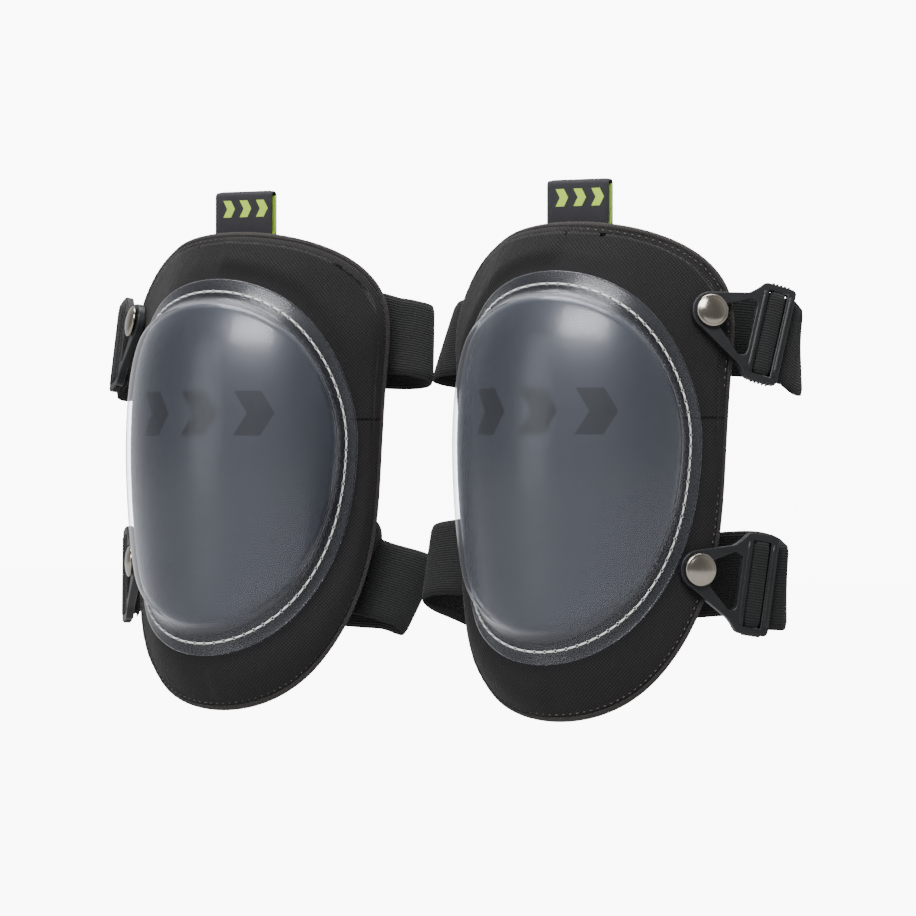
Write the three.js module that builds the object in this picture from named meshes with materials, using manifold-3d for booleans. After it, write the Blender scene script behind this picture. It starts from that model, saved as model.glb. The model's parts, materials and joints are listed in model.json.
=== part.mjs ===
// A pair of knee pads: soft shells with a clear domed cap, each closed behind the knee by two
// elastic straps that hook on to metal studs with triangular clips.
//
// Millimetres, +Z up. The pads face -Y and stand side by side along X. The origin lies midway
// between the wearer's two knees. The wearer's left pad is at +X and the right pad is its mirror
// image, so everything is drawn once for the left pad, in pad coordinates: x across with the
// outer side of the leg at +x, y towards the leg, z up from the pad's lowest point.

import * as THREE from 'three';
import { mergeVertices } from 'three/addons/utils/BufferGeometryUtils.js';
import Module from 'manifold-3d';

const wasm = await Module();
wasm.setup();

// ---- Driving dimensions ---------------------------------------------------------------------

const PAD_SPACING = 182; // between the middle planes of the two pads
const KNEE_HEIGHT = 120; // the knee's centre above the pad's lowest point
const GAP = 0.3; // clearance between pieces that touch
const LAYER_GAP = 1.4; // clearance between the shell's wrapped layers

// Flat outlines: half the width at the widest height, and the lowest and highest points. Each
// half is a superellipse of the given power.
const PAD_OUTLINE = { halfWidth: 91, bottom: 0, widest: 160, top: 228, below: 3.1, above: 3 };
const CAP_OUTLINE = { halfWidth: 77, bottom: 26.5, widest: 128, top: 205, below: 2, above: 1.8 };

// The shell's front line from the side, and how far round each side wraps before it runs
// straight, as [height, value] pairs.
const WRAP_RADIUS = 57;
const FRONT_LINE = [[0, -30], [30, -41], [75, -43], [128, -44.5], [175, -40], [207, -28], [228, -17]];
const WRAP_DEGREES = [[0, 38], [67, 48], [128, 50], [196, 42], [228, 40]];

// Layers, measured inwards from the front fabric.
const FABRIC = 1.8;
const EDGE_THICKNESS = 5.6;
const MIDDLE_THICKNESS = 18;
const GEL_THICKNESS = 4;
const GEL_SHARE = 0.5; // of the pad's outline
const BINDING_WIDTH = 3;

// Cap, measured outwards from the front fabric.
const CAP_SEAT = 1;
const CAP_WALL = 2.3;
const CAP_RISE = 11.2;
const FLANGE_WIDTH = 7.2;
const PANEL_RISE = 6.4;
const THREAD = 0.8;

// Studs: places on the flat outline, and sizes.
const STUDS = {
  upper: { across: 76, height: 185.5, tilt: 16 },
  lower: { across: 73.5, height: 69.5, tilt: 9 },
};
const STUD_HEAD_RADIUS = 7.5;
const STUD_NECK_RADIUS = 4;
const STUD_FOOT_RADIUS = 5.4;
const STUD_FOOT = 0.8;
const RIVET_RADIUS = 2;
const FOOT_STAND = 0.6; // the stud's foot and washer bear on the fabric's high spots
const STUD_CLEARANCE = 0.4;
const STUD_STAND = 5.6; // from the fabric to the underside of the head

// Clip, in its own frame: x from the stud along the clip, y up, z out of the leg.
const CLIP_BACK = 1.5;
const CLIP_FRONT = 5.2;
const CLIP_RING = 9;
const CLIP_LENGTH = 37;
const CLIP_DROP = 2.5; // the strap end hangs this much below the stud's line
const CLIP_HALF_HEIGHT = 23;
const CLIP_CORNER = 3;
const CLIP_SHOULDER = [[15, 16], [18, 18], [21, 22], [22, 23], [24, 23]]; // along, half height
const KEYHOLE_LEAD = 0.3 * Math.PI; // where the window opens out of the ring, from the clip's line
const RING_LEAD = 0.6 * Math.PI; // where the arms leave the ring
const WINDOW_HALF_HEIGHT = 14;
const WINDOW_CORNER = 4;
const INNER_BAR = 4.4;
const SLOT_START = 24.5;
const SLOT_WIDTH = 8.4;
const SLOT_HALF_LENGTH = 19.6;
const BAR_RADIUS = 1.7;
const BAR_HEIGHT = 2.2;

// Straps.
const STRAP_WIDTH = 38;
const STRAP_THICKNESS = 1.8;
const STRAP_END_THICKNESS = 1.6;
const SWIVEL_CUT = 39; // the strap parts here, on a circle about the stud
const SWIVEL_GAP = 0.5;
const SWIVEL_REACH = [-5, 9]; // how far behind and in front of the fabric the strap is parted
const CLIP_SWEEP = Math.hypot(CLIP_LENGTH, CLIP_HALF_HEIGHT + CLIP_DROP) + SWIVEL_GAP;
// From the sewn end at the inner side, round behind the knee's hollow, to the clip.
const STRAP_ROUTE = {
  upper: [[-54, 9.2, 180], [-61, 15.8, 180], [-68, 20.4, 179.5], [-79.5, 20, 178], [-86, 25, 175.5],
    [-79.5, 31.5, 173], [-45, 35, 173], [0, 38, 175.5], [45, 41, 177.5], [77, 42.5, 174], [89, 38.5, 169],
    [93.5, 31.5, 167.5], [94.5, 23, 170]],
  lower: [[-50, 4, 75], [-57, 10, 74.5], [-64, 14.8, 73], [-75, 15.5, 70], [-83.5, 20.5, 64.5],
    [-77, 28, 58.5], [-45, 32, 57.5], [0, 34, 61], [40, 36.5, 65.5], [70, 37.5, 67], [83.5, 33.5, 64],
    [89, 26.5, 61], [89.5, 19.5, 61.5]],
};
const STRAP_STEPS = 52;
const TAIL_SPAN = [0.56, 0.74]; // share of the route that the doubled-back end covers
const TAIL_STEPS = 8;

// Pull tab.
const TAB_WIDTH = 32;
const TAB_TOP = 248;
const TAB_FOOT = 216;
const TAB_LAYER = 1.2;
const TAB_BEND = 1.6;
const TAB_CROWN = 2; // the webbing's height over the fold's inside
const TAB_FRONT = -7.2;
const TAB_BACK = -2;
const LINING_FOOT = TAB_FOOT + 6;

const SEGMENTS = 30;

// ---- Colours and finishes -------------------------------------------------------------------

function finish(color, roughness, metalness = 0) {
  return new THREE.MeshStandardMaterial({ color, roughness, metalness });
}

const MATERIALS = {
  shell_fabric: () => finish(0x2c2a2c, 0.92),
  liner_fabric: () => finish(0x1c1c1e, 0.95),
  foam: () => finish(0x3a3b3d, 1),
  gel: () => finish(0x6f8fae, 0.3),
  clear_tpu: () => finish(0xb9c2cc, 0.18),
  grey_panel: () => finish(0x6d727a, 0.6),
  thread: () => finish(0xe8e8e6, 0.8),
  strap_elastic: () => finish(0x222425, 0.9),
  clip_plastic: () => finish(0x33363a, 0.45),
  stud_metal: () => finish(0xb9b0a4, 0.28, 1),
  lime_weave: () => finish(0x9ccc2c, 0.85),
};

// ---- Closed bodies and booleans -------------------------------------------------------------

// Shared corners joined, collapsed triangles dropped and all faces pointing out.
function closedBody(geometry) {
  const bare = new THREE.BufferGeometry();
  bare.setAttribute('position', geometry.getAttribute('position').clone());
  if (geometry.index) bare.setIndex(geometry.index.clone());
  const merged = mergeVertices(bare, 1e-3);
  const corners = Array.from(merged.index.array);
  const kept = [];
  for (let i = 0; i < corners.length; i += 3) {
    const [a, b, c] = corners.slice(i, i + 3);
    if (a !== b && b !== c && c !== a) kept.push(a, b, c);
  }
  merged.setIndex(volumeOf(merged, kept) < 0 ? kept.reverse() : kept);
  return merged;
}

function volumeOf(geometry, corners) {
  const points = geometry.getAttribute('position');
  const [a, b, c] = [new THREE.Vector3(), new THREE.Vector3(), new THREE.Vector3()];
  let total = 0;
  for (let i = 0; i < corners.length; i += 3) {
    a.fromBufferAttribute(points, corners[i]);
    b.fromBufferAttribute(points, corners[i + 1]);
    c.fromBufferAttribute(points, corners[i + 2]);
    total += a.dot(b.cross(c)) / 6;
  }
  return total;
}

function toSolid(geometry) {
  const body = closedBody(geometry);
  const vertProperties = new Float32Array(body.getAttribute('position').array);
  const triVerts = new Uint32Array(body.index.array);
  return new wasm.Manifold(new wasm.Mesh({ numProp: 3, vertProperties, triVerts }));
}

function toGeometry(solid) {
  const mesh = solid.getMesh();
  const geometry = new THREE.BufferGeometry();
  geometry.setAttribute('position', new THREE.BufferAttribute(mesh.vertProperties, 3));
  geometry.setIndex(Array.from(mesh.triVerts));
  return geometry;
}

// ---- The pad's surface ----------------------------------------------------------------------

// A smooth line through [position, value] pairs.
function lineThrough(pairs) {
  const slope = (i) => {
    const [before, after] = [pairs[Math.max(i - 1, 0)], pairs[Math.min(i + 1, pairs.length - 1)]];
    return (after[1] - before[1]) / (after[0] - before[0]);
  };
  return (position) => {
    const at = THREE.MathUtils.clamp(position, pairs[0][0], pairs.at(-1)[0]);
    const i = Math.min(pairs.findLastIndex((pair) => pair[0] <= at), pairs.length - 2);
    const span = pairs[i + 1][0] - pairs[i][0];
    const t = (at - pairs[i][0]) / span;
    const [t2, t3] = [t * t, t * t * t];
    return (2 * t3 - 3 * t2 + 1) * pairs[i][1] + (t3 - 2 * t2 + t) * span * slope(i)
      + (3 * t2 - 2 * t3) * pairs[i + 1][1] + (t3 - t2) * span * slope(i + 1);
  };
}
const frontLine = lineThrough(FRONT_LINE);
const wrapDegrees = lineThrough(WRAP_DEGREES);

// The direction that the shell faces at a place on its flat outline, as an angle from -y.
function facing(across, height) {
  const limit = THREE.MathUtils.degToRad(wrapDegrees(height));
  return THREE.MathUtils.clamp(across / WRAP_RADIUS, -limit, limit);
}

// The point a distance out from the front fabric: round the knee on an arc, then straight.
function surfacePoint(across, height, out) {
  const turn = facing(across, height);
  const straight = across - turn * WRAP_RADIUS;
  return new THREE.Vector3(
    WRAP_RADIUS * Math.sin(turn) + straight * Math.cos(turn) + out * Math.sin(turn),
    frontLine(height) + WRAP_RADIUS * (1 - Math.cos(turn)) + straight * Math.sin(turn) - out * Math.cos(turn),
    height,
  );
}

// A point of a flat outline at an angle from the widest line.
function outlinePoint(outline, angle) {
  const upper = Math.sin(angle) >= 0;
  const reach = upper ? outline.top - outline.widest : outline.bottom - outline.widest;
  const power = upper ? outline.above : outline.below;
  return new THREE.Vector2(
    outline.halfWidth * Math.cos(angle),
    outline.widest + reach * Math.abs(Math.sin(angle)) ** (2 / power),
  );
}

// The outline moved in by a share of its size and then by a distance.
function insetPoint(outline, angle, share, inset) {
  const step = 0.02;
  const ahead = outlinePoint(outline, angle + step);
  const along = ahead.sub(outlinePoint(outline, angle - step)).normalize();
  const centre = new THREE.Vector2(0, outline.widest);
  const point = outlinePoint(outline, angle).sub(centre).multiplyScalar(share).add(centre);
  return point.add(new THREE.Vector2(-along.y, along.x).multiplyScalar(inset));
}

// A layer of the pad: a turned section whose rows are laid along the outline and wrapped round
// the knee. Each row of the section is [share of the outline, inset, distance out].
function layer(outline, section) {
  const rows = section.map(([share, inset, out]) => new THREE.Vector2(share * outline.halfWidth - inset, out));
  const geometry = new THREE.LatheGeometry(rows, SEGMENTS);
  const points = geometry.getAttribute('position');
  for (let i = 0; i < points.count; i += 1) {
    const [share, inset, out] = section[i % section.length];
    const angle = (Math.floor(i / section.length) % SEGMENTS) * (2 * Math.PI / SEGMENTS);
    const flat = share > 0 ? insetPoint(outline, angle, share, inset) : new THREE.Vector2(0, outline.widest);
    const placed = surfacePoint(flat.x, flat.y, out);
    points.setXYZ(i, placed.x, placed.y, placed.z);
  }
  return closedBody(geometry);
}

// ---- Layers of the shell --------------------------------------------------------------------

const thickness = (share) => EDGE_THICKNESS + (MIDDLE_THICKNESS - EDGE_THICKNESS) * (1 - share * share);
const SHARES = [0, 0.25, 0.5, 0.7, 0.86];
const EDGE_SHARE = 0.95;

function frontCoverGeometry() {
  const edge = BINDING_WIDTH + GAP;
  const front = SHARES.map((share) => [share, 0, 0]);
  const back = SHARES.map((share) => [share, 0, -FABRIC]).reverse();
  return layer(PAD_OUTLINE, [...front, [1, edge, 0], [1, edge, -FABRIC], ...back]);
}

function foamCoreGeometry() {
  const edge = BINDING_WIDTH + GAP;
  const start = -FABRIC - LAYER_GAP;
  const behind = (share) => -thickness(share) + FABRIC + LAYER_GAP;
  const front = SHARES.map((share) => [share, 0, start]);
  const rim = SHARES.filter((share) => share >= GEL_SHARE).map((share) => [share, 0, behind(share)]).reverse();
  const pocket = SHARES.filter((share) => share <= GEL_SHARE)
    .map((share) => [share, 0, behind(share) + GEL_THICKNESS + LAYER_GAP]).reverse();
  return layer(PAD_OUTLINE, [...front, [1, edge, start], [1, edge, behind(EDGE_SHARE)], ...rim, ...pocket]);
}

function gelInsertGeometry() {
  const shares = [0, 0.25, GEL_SHARE - 0.03];
  const back = (share) => -thickness(share) + FABRIC + LAYER_GAP;
  const front = shares.map((share) => [share, 0, back(share) + GEL_THICKNESS]);
  const rear = shares.map((share) => [share, 0, back(share)]).reverse();
  return layer(PAD_OUTLINE, [...front, ...rear]);
}

function rearLinerGeometry() {
  const edge = BINDING_WIDTH + GAP;
  const front = SHARES.map((share) => [share, 0, -thickness(share) + FABRIC]);
  const rear = SHARES.map((share) => [share, 0, -thickness(share)]).reverse();
  const rim = -thickness(EDGE_SHARE);
  return layer(PAD_OUTLINE, [...front, [1, edge, rim + FABRIC], [1, edge, rim], ...rear]);
}

function edgeBindingGeometry() {
  const [front, back] = [0.7, -thickness(EDGE_SHARE) - 0.5];
  const section = [[1, 0.7, front], [1, 0, front - 1], [1, 0, back + 1], [1, 0.7, back],
    [1, BINDING_WIDTH, back], [1, BINDING_WIDTH, front], [1, 0.7, front]];
  return layer(PAD_OUTLINE, section);
}

// ---- Cap ------------------------------------------------------------------------------------

const DOME_SHARES = [0, 0.22, 0.42, 0.6, 0.74, 0.84];
// The dome is flat in the middle and rolls down to its flange.
const domeHeight = (share, rise) => rise * (1 - 0.55 * share ** 6) - 0.6 * share * share;

function clearCapGeometry() {
  const top = CAP_SEAT + CAP_WALL;
  const outside = DOME_SHARES.map((share) => [share, 0, domeHeight(share, CAP_RISE)]);
  const inside = DOME_SHARES.map((share) => [share, 0, domeHeight(share, CAP_RISE) - CAP_WALL]).reverse();
  const flange = [[1, FLANGE_WIDTH + 1.5, top + 2.2], [1, FLANGE_WIDTH, top], [1, 0.6, top], [1, 0, top - 0.6],
    [1, 0, CAP_SEAT], [1, FLANGE_WIDTH + 0.6, CAP_SEAT], [1, FLANGE_WIDTH + 3, CAP_SEAT + 2.4]];
  return layer(CAP_OUTLINE, [...outside, ...flange, ...inside]);
}

function capPanelGeometry() {
  const outside = DOME_SHARES.map((share) => [share, 0, domeHeight(share, PANEL_RISE)]);
  const inside = DOME_SHARES.map((share) => [share, 0, CAP_SEAT]).reverse();
  const rim = FLANGE_WIDTH + 4;
  return layer(CAP_OUTLINE, [...outside, [1, rim, CAP_SEAT + 1], [1, rim, CAP_SEAT], ...inside]);
}

function capStitchingGeometry() {
  const base = CAP_SEAT + CAP_WALL + GAP;
  const outer = FLANGE_WIDTH - 1.6;
  const [start, ridge] = [[1, outer, base], [1, outer + THREAD / 2, base + THREAD]];
  const section = [start, ridge, [1, outer + THREAD, base], start];
  return layer(CAP_OUTLINE, section);
}

// ---- Studs ----------------------------------------------------------------------------------

// A turned piece whose axis is the stud's, from [radius, distance out] pairs.
function turned(section, sides = 16) {
  const points = section.map(([radius, out]) => new THREE.Vector2(radius, out));
  const geometry = new THREE.LatheGeometry(points, sides);
  geometry.rotateX(Math.PI / 2);
  return closedBody(geometry);
}

function studHeadGeometry() {
  const [r, base] = [STUD_HEAD_RADIUS, STUD_STAND + GAP];
  return turned([[0, base], [r - 1, base], [r, base + 0.7], [r - 0.3, base + 1.5], [r - 2, base + 2.4], [3, base + 2.8],
    [0, base + 2.8]]);
}

function studPostGeometry() {
  return turned([[0, -3.8], [RIVET_RADIUS, -3.8], [RIVET_RADIUS, FOOT_STAND], [STUD_FOOT_RADIUS, FOOT_STAND],
    [STUD_FOOT_RADIUS, FOOT_STAND + STUD_FOOT], [STUD_NECK_RADIUS, FOOT_STAND + STUD_FOOT],
    [STUD_NECK_RADIUS, STUD_STAND], [0, STUD_STAND]]);
}

function studWasherGeometry() {
  const [inner, outer] = [RIVET_RADIUS + GAP, STUD_FOOT_RADIUS - 0.6];
  const [back, front] = [-FABRIC - FOOT_STAND - 1, -FABRIC - FOOT_STAND];
  return turned([[inner, back], [outer, back], [outer, front], [inner, front], [inner, back]]);
}

// The frame at a stud: x along the shell away from the middle, y up, z out of the fabric. On the
// mirrored pad x turns back towards the middle, so that the frame stays right-handed.
function studFrame({ across, height }, mirrored = false) {
  const step = 5;
  const place = surfacePoint(across, height, 0);
  const along = surfacePoint(across + step, height, 0).sub(place).normalize();
  const rise = surfacePoint(across, height + step, 0).sub(surfacePoint(across, height - step, 0));
  const out = along.clone().cross(rise).normalize();
  const up = out.clone().cross(along);
  const frame = new THREE.Matrix4().makeBasis(along, up, out).setPosition(place);
  if (!mirrored) return frame;
  const mirror = new THREE.Matrix4().makeScale(-1, 1, 1);
  return mirror.clone().multiply(frame).multiply(mirror);
}

// A round cutter on a stud's axis.
function studCutter(stud, radius, back, front) {
  const geometry = turned([[0, back], [radius, back], [radius, front], [0, front]]);
  return toSolid(geometry.applyMatrix4(studFrame(stud)));
}

function cutAtStuds(geometry, radius, back, front) {
  const cutters = Object.values(STUDS).map((stud) => studCutter(stud, radius, back, front));
  return toGeometry(cutters.reduce((solid, cutter) => solid.subtract(cutter), toSolid(geometry)));
}

// ---- Clips ----------------------------------------------------------------------------------

// The plate's outline: a ring about the stud, two arms that spread, and the strap end.
function clipOutline() {
  const [y, h, end] = [-CLIP_DROP, CLIP_HALF_HEIGHT, CLIP_LENGTH];
  const outline = new THREE.Shape();
  const low = CLIP_SHOULDER.map(([x, half]) => [x, y - half]);
  const high = CLIP_SHOULDER.map(([x, half]) => [x, y + half]).reverse();
  outline.absarc(0, 0, CLIP_RING, RING_LEAD, -RING_LEAD, false);
  outline.lineTo(...low[0]);
  outline.quadraticCurveTo(...low[1], ...low[2]);
  outline.quadraticCurveTo(...low[3], ...low[4]);
  outline.lineTo(end - CLIP_CORNER, y - h);
  outline.quadraticCurveTo(end, y - h, end, y - h + CLIP_CORNER);
  outline.lineTo(end, y + h - CLIP_CORNER);
  outline.quadraticCurveTo(end, y + h, end - CLIP_CORNER, y + h);
  outline.lineTo(...high[0]);
  outline.quadraticCurveTo(...high[1], ...high[2]);
  outline.quadraticCurveTo(...high[3], ...high[4]);
  outline.closePath();
  return outline;
}

// A keyhole: round at the stud's neck, then widening to the triangular window.
function clipWindow() {
  const neck = STUD_NECK_RADIUS + 0.5;
  const [y, inner, half] = [-CLIP_DROP, SLOT_START - INNER_BAR, WINDOW_HALF_HEIGHT];
  const [start, straight] = [inner - WINDOW_CORNER, half - WINDOW_CORNER];
  const hole = new THREE.Path();
  hole.absarc(0, 0, neck, KEYHOLE_LEAD, -KEYHOLE_LEAD, false);
  hole.lineTo(start, y - half + 1);
  hole.quadraticCurveTo(inner, y - half, inner, y - straight);
  hole.lineTo(inner, y + straight);
  hole.quadraticCurveTo(inner, y + half, start, y + half - 1);
  hole.closePath();
  return hole;
}

function clipSlot() {
  const [x0, x1] = [SLOT_START, SLOT_START + SLOT_WIDTH];
  const [y0, y1] = [-CLIP_DROP - SLOT_HALF_LENGTH, -CLIP_DROP + SLOT_HALF_LENGTH];
  const slot = new THREE.Path();
  slot.moveTo(x0, y0);
  slot.lineTo(x0, y1);
  slot.lineTo(x1, y1);
  slot.lineTo(x1, y0);
  slot.closePath();
  return slot;
}

const slotMiddle = SLOT_START + SLOT_WIDTH / 2;

function clipGeometry() {
  const outline = clipOutline();
  outline.holes.push(clipWindow(), clipSlot());
  const shape = { depth: CLIP_FRONT - CLIP_BACK, bevelEnabled: false, curveSegments: 5 };
  const plate = new THREE.ExtrudeGeometry(outline, shape);
  plate.translate(0, 0, CLIP_BACK);
  const bar = new THREE.CylinderGeometry(BAR_RADIUS, BAR_RADIUS, 2 * SLOT_HALF_LENGTH + 3, 12);
  bar.translate(slotMiddle, -CLIP_DROP, BAR_HEIGHT);
  return toGeometry(toSolid(plate).add(toSolid(bar)));
}

// The strap's end: it comes from behind, over the bar in the slot, and back on to itself.
function strapEndGeometry() {
  const [over, under] = [BAR_RADIUS + GAP + STRAP_END_THICKNESS, -STRAP_END_THICKNESS];
  const outline = new THREE.Shape();
  outline.moveTo(slotMiddle - over, under + 1);
  outline.lineTo(slotMiddle - over, BAR_HEIGHT);
  outline.absarc(slotMiddle, BAR_HEIGHT, over, Math.PI, 0, true);
  outline.lineTo(slotMiddle + over, CLIP_BACK - GAP);
  outline.lineTo(SWIVEL_CUT + 2, CLIP_BACK - GAP);
  outline.lineTo(SWIVEL_CUT + 2, under);
  outline.lineTo(slotMiddle - over + 1, under);
  outline.closePath();
  const eye = new THREE.Path();
  eye.absarc(slotMiddle, BAR_HEIGHT, BAR_RADIUS + GAP, 0, 2 * Math.PI, false);
  outline.holes.push(eye);
  const shape = { depth: STRAP_WIDTH, bevelEnabled: false, curveSegments: 8 };
  const band = new THREE.ExtrudeGeometry(outline, shape);
  band.translate(0, 0, -STRAP_WIDTH / 2);
  band.rotateX(Math.PI / 2);
  band.translate(0, -CLIP_DROP, 0);
  const [back, front] = SWIVEL_REACH;
  const reach = turned([[0, back], [SWIVEL_CUT, back], [SWIVEL_CUT, front], [0, front]], 48);
  return toGeometry(toSolid(band).intersect(toSolid(reach)));
}

// ---- Straps ---------------------------------------------------------------------------------

// A band of the strap's width along part of its route, set off to the leg's side by `aside`. Its
// width stays as upright as the route's rise and fall allow.
function bandGeometry(level, from, to, aside, steps) {
  const route = STRAP_ROUTE[level].map(([x, y, z]) => new THREE.Vector3(x, y, z));
  const curve = new THREE.CatmullRomCurve3(route, false, 'centripetal');
  const [corners, faces] = [[], []];
  for (let i = 0; i <= steps; i += 1) {
    const at = from + (to - from) * (i / steps);
    const along = curve.getTangentAt(at);
    const width = new THREE.Vector3(0, 0, 1).addScaledVector(along, -along.z).normalize();
    const legSide = width.clone().cross(along);
    const middle = curve.getPointAt(at).addScaledVector(legSide, aside);
    for (const [u, v] of [[-1, -1], [1, -1], [1, 1], [-1, 1]]) {
      const corner = middle.clone().addScaledVector(width, u * STRAP_WIDTH / 2);
      corners.push(...corner.addScaledVector(legSide, v * STRAP_THICKNESS / 2).toArray());
    }
  }
  for (let i = 0; i < 4 * steps; i += 1) {
    const next = i % 4 === 3 ? i - 3 : i + 1;
    faces.push(i, i + 4, next + 4, i, next + 4, next);
  }
  const last = 4 * steps;
  faces.push(0, 1, 2, 0, 2, 3, last, last + 2, last + 1, last, last + 3, last + 2);
  const band = new THREE.BufferGeometry();
  band.setAttribute('position', new THREE.Float32BufferAttribute(corners, 3));
  return band.setIndex(faces);
}

function strapGeometry(level) {
  const band = bandGeometry(level, 0, 1, 0, STRAP_STEPS);
  const cutter = studCutter(STUDS[level], SWIVEL_CUT + SWIVEL_GAP, ...SWIVEL_REACH);
  const swept = studCutter(STUDS[level], CLIP_SWEEP, CLIP_BACK - GAP, SWIVEL_REACH[1]);
  return toGeometry(toSolid(band).subtract(cutter).subtract(swept));
}

const strapTailGeometry = (level) => bandGeometry(level, ...TAIL_SPAN, STRAP_THICKNESS + GAP, TAIL_STEPS);

// ---- Pull tab -------------------------------------------------------------------------------

// Folded webbing, seen from the side as a tall U turned upside down.
function foldedBand(front, back, top, foot, depth) {
  const outline = new THREE.Shape();
  outline.moveTo(front, foot);
  outline.lineTo(front, top - TAB_BEND);
  outline.quadraticCurveTo(front, top, front + TAB_BEND, top);
  outline.lineTo(back - TAB_BEND, top);
  outline.quadraticCurveTo(back, top, back, top - TAB_BEND);
  outline.lineTo(back, foot);
  outline.lineTo(back - depth, foot);
  outline.lineTo(back - depth, top - TAB_CROWN);
  outline.lineTo(front + depth, top - TAB_CROWN);
  outline.lineTo(front + depth, foot);
  outline.closePath();
  const shape = { depth: TAB_WIDTH, bevelEnabled: false, curveSegments: 4 };
  const band = new THREE.ExtrudeGeometry(outline, shape);
  const upright = new THREE.Matrix4().makeBasis(
    new THREE.Vector3(0, 1, 0), new THREE.Vector3(0, 0, 1), new THREE.Vector3(1, 0, 0));
  return band.applyMatrix4(upright).translate(-TAB_WIDTH / 2, 0, 0);
}

const pullTabGeometry = () => foldedBand(TAB_FRONT, TAB_BACK, TAB_TOP, TAB_FOOT, TAB_LAYER);

// The coloured lining lies inside the fold.
function tabLiningGeometry() {
  const depth = TAB_BACK - TAB_FRONT - 2 * (TAB_LAYER + GAP);
  const height = TAB_TOP - TAB_CROWN - GAP - LINING_FOOT;
  const lining = new THREE.BoxGeometry(TAB_WIDTH, depth, height);
  return lining.translate(0, (TAB_FRONT + TAB_BACK) / 2, LINING_FOOT + height / 2);
}

// ---- Assembly -------------------------------------------------------------------------------

function mesh(name, geometry, material, mirrored) {
  const handed = mirrored ? geometry.clone().scale(-1, 1, 1) : geometry;
  const piece = new THREE.Mesh(closedBody(handed), MATERIALS[material]());
  piece.name = name;
  return piece;
}

// A group at a stud, with `tilt` turning the clip's strap end down.
function studGroup(stud, mirrored, tilt = 0) {
  const group = new THREE.Group();
  group.applyMatrix4(studFrame(stud, mirrored));
  group.rotateZ((mirrored ? 1 : -1) * THREE.MathUtils.degToRad(tilt));
  return group;
}

function studAndClip(prefix, level, mirrored) {
  const stud = STUDS[level];
  const fixed = studGroup(stud, mirrored);
  fixed.add(mesh(`${prefix}_${level}_stud_head`, studHeadGeometry(), 'stud_metal', mirrored));
  fixed.add(mesh(`${prefix}_${level}_stud_post`, studPostGeometry(), 'stud_metal', mirrored));
  fixed.add(mesh(`${prefix}_${level}_stud_washer`, studWasherGeometry(), 'stud_metal', mirrored));
  const swivelling = studGroup(stud, mirrored, stud.tilt);
  swivelling.add(mesh(`${prefix}_${level}_clip`, clipGeometry(), 'clip_plastic', mirrored));
  swivelling.add(mesh(`${prefix}_${level}_strap_end`, strapEndGeometry(), 'strap_elastic', mirrored));
  return [fixed, swivelling];
}

function kneePad(prefix, mirrored) {
  const pad = new THREE.Group();
  const rivetHole = [RIVET_RADIUS + STUD_CLEARANCE, -6, 3];
  const washerPocket = [STUD_FOOT_RADIUS + STUD_CLEARANCE, -4.8, 3];
  const add = (name, geometry, material) => pad.add(mesh(`${prefix}_${name}`, geometry, material, mirrored));
  add('front_cover', cutAtStuds(frontCoverGeometry(), ...rivetHole), 'shell_fabric');
  add('foam_core', cutAtStuds(foamCoreGeometry(), ...washerPocket), 'foam');
  add('gel_insert', gelInsertGeometry(), 'gel');
  add('rear_liner', rearLinerGeometry(), 'liner_fabric');
  add('edge_binding', edgeBindingGeometry(), 'shell_fabric');
  add('cap_panel', capPanelGeometry(), 'grey_panel');
  add('clear_cap', clearCapGeometry(), 'clear_tpu');
  add('cap_stitching', capStitchingGeometry(), 'thread');
  add('pull_tab', pullTabGeometry(), 'strap_elastic');
  add('tab_lining', tabLiningGeometry(), 'lime_weave');
  for (const level of Object.keys(STUDS)) {
    add(`${level}_strap`, strapGeometry(level), 'strap_elastic');
    add(`${level}_strap_tail`, strapTailGeometry(level), 'strap_elastic');
    pad.add(...studAndClip(prefix, level, mirrored));
  }
  pad.position.set((mirrored ? -1 : 1) * PAD_SPACING / 2, 0, -KNEE_HEIGHT);
  return pad;
}

const kneePads = new THREE.Group();
kneePads.add(kneePad('left', false), kneePad('right', true));

export default kneePads;
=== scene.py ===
"""Studio picture of a pair of knee pads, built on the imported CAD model.

Every length below is in millimetres in pad coordinates: x across with the outer side of the leg
at +x, y towards the leg, z up from the pad's lowest point. The left pad is drawn as it is and the
right pad is its mirror image.
"""
import json
from math import cos, pi, radians, sin

import bpy
import numpy as np
from mathutils import Matrix, Vector, noise


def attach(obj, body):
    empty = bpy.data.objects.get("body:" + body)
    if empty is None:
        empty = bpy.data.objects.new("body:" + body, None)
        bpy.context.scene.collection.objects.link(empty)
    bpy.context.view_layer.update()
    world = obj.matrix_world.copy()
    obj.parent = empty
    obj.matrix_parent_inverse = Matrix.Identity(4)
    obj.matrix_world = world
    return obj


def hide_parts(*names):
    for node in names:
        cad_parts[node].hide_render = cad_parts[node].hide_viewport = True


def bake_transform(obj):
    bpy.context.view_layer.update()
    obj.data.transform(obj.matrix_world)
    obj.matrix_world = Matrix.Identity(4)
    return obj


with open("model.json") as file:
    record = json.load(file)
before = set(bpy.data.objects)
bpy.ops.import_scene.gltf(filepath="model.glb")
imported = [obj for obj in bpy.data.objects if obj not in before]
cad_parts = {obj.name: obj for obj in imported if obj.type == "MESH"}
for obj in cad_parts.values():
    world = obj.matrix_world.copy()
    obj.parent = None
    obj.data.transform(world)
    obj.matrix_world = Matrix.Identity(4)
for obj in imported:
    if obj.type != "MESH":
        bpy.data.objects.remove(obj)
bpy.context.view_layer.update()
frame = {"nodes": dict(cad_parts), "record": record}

MM = 0.001
SIDES = {"left": 1, "right": -1}
LEVELS = ("upper", "lower")

# ---- Driving dimensions, as in the CAD source ------------------------------------------------

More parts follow.
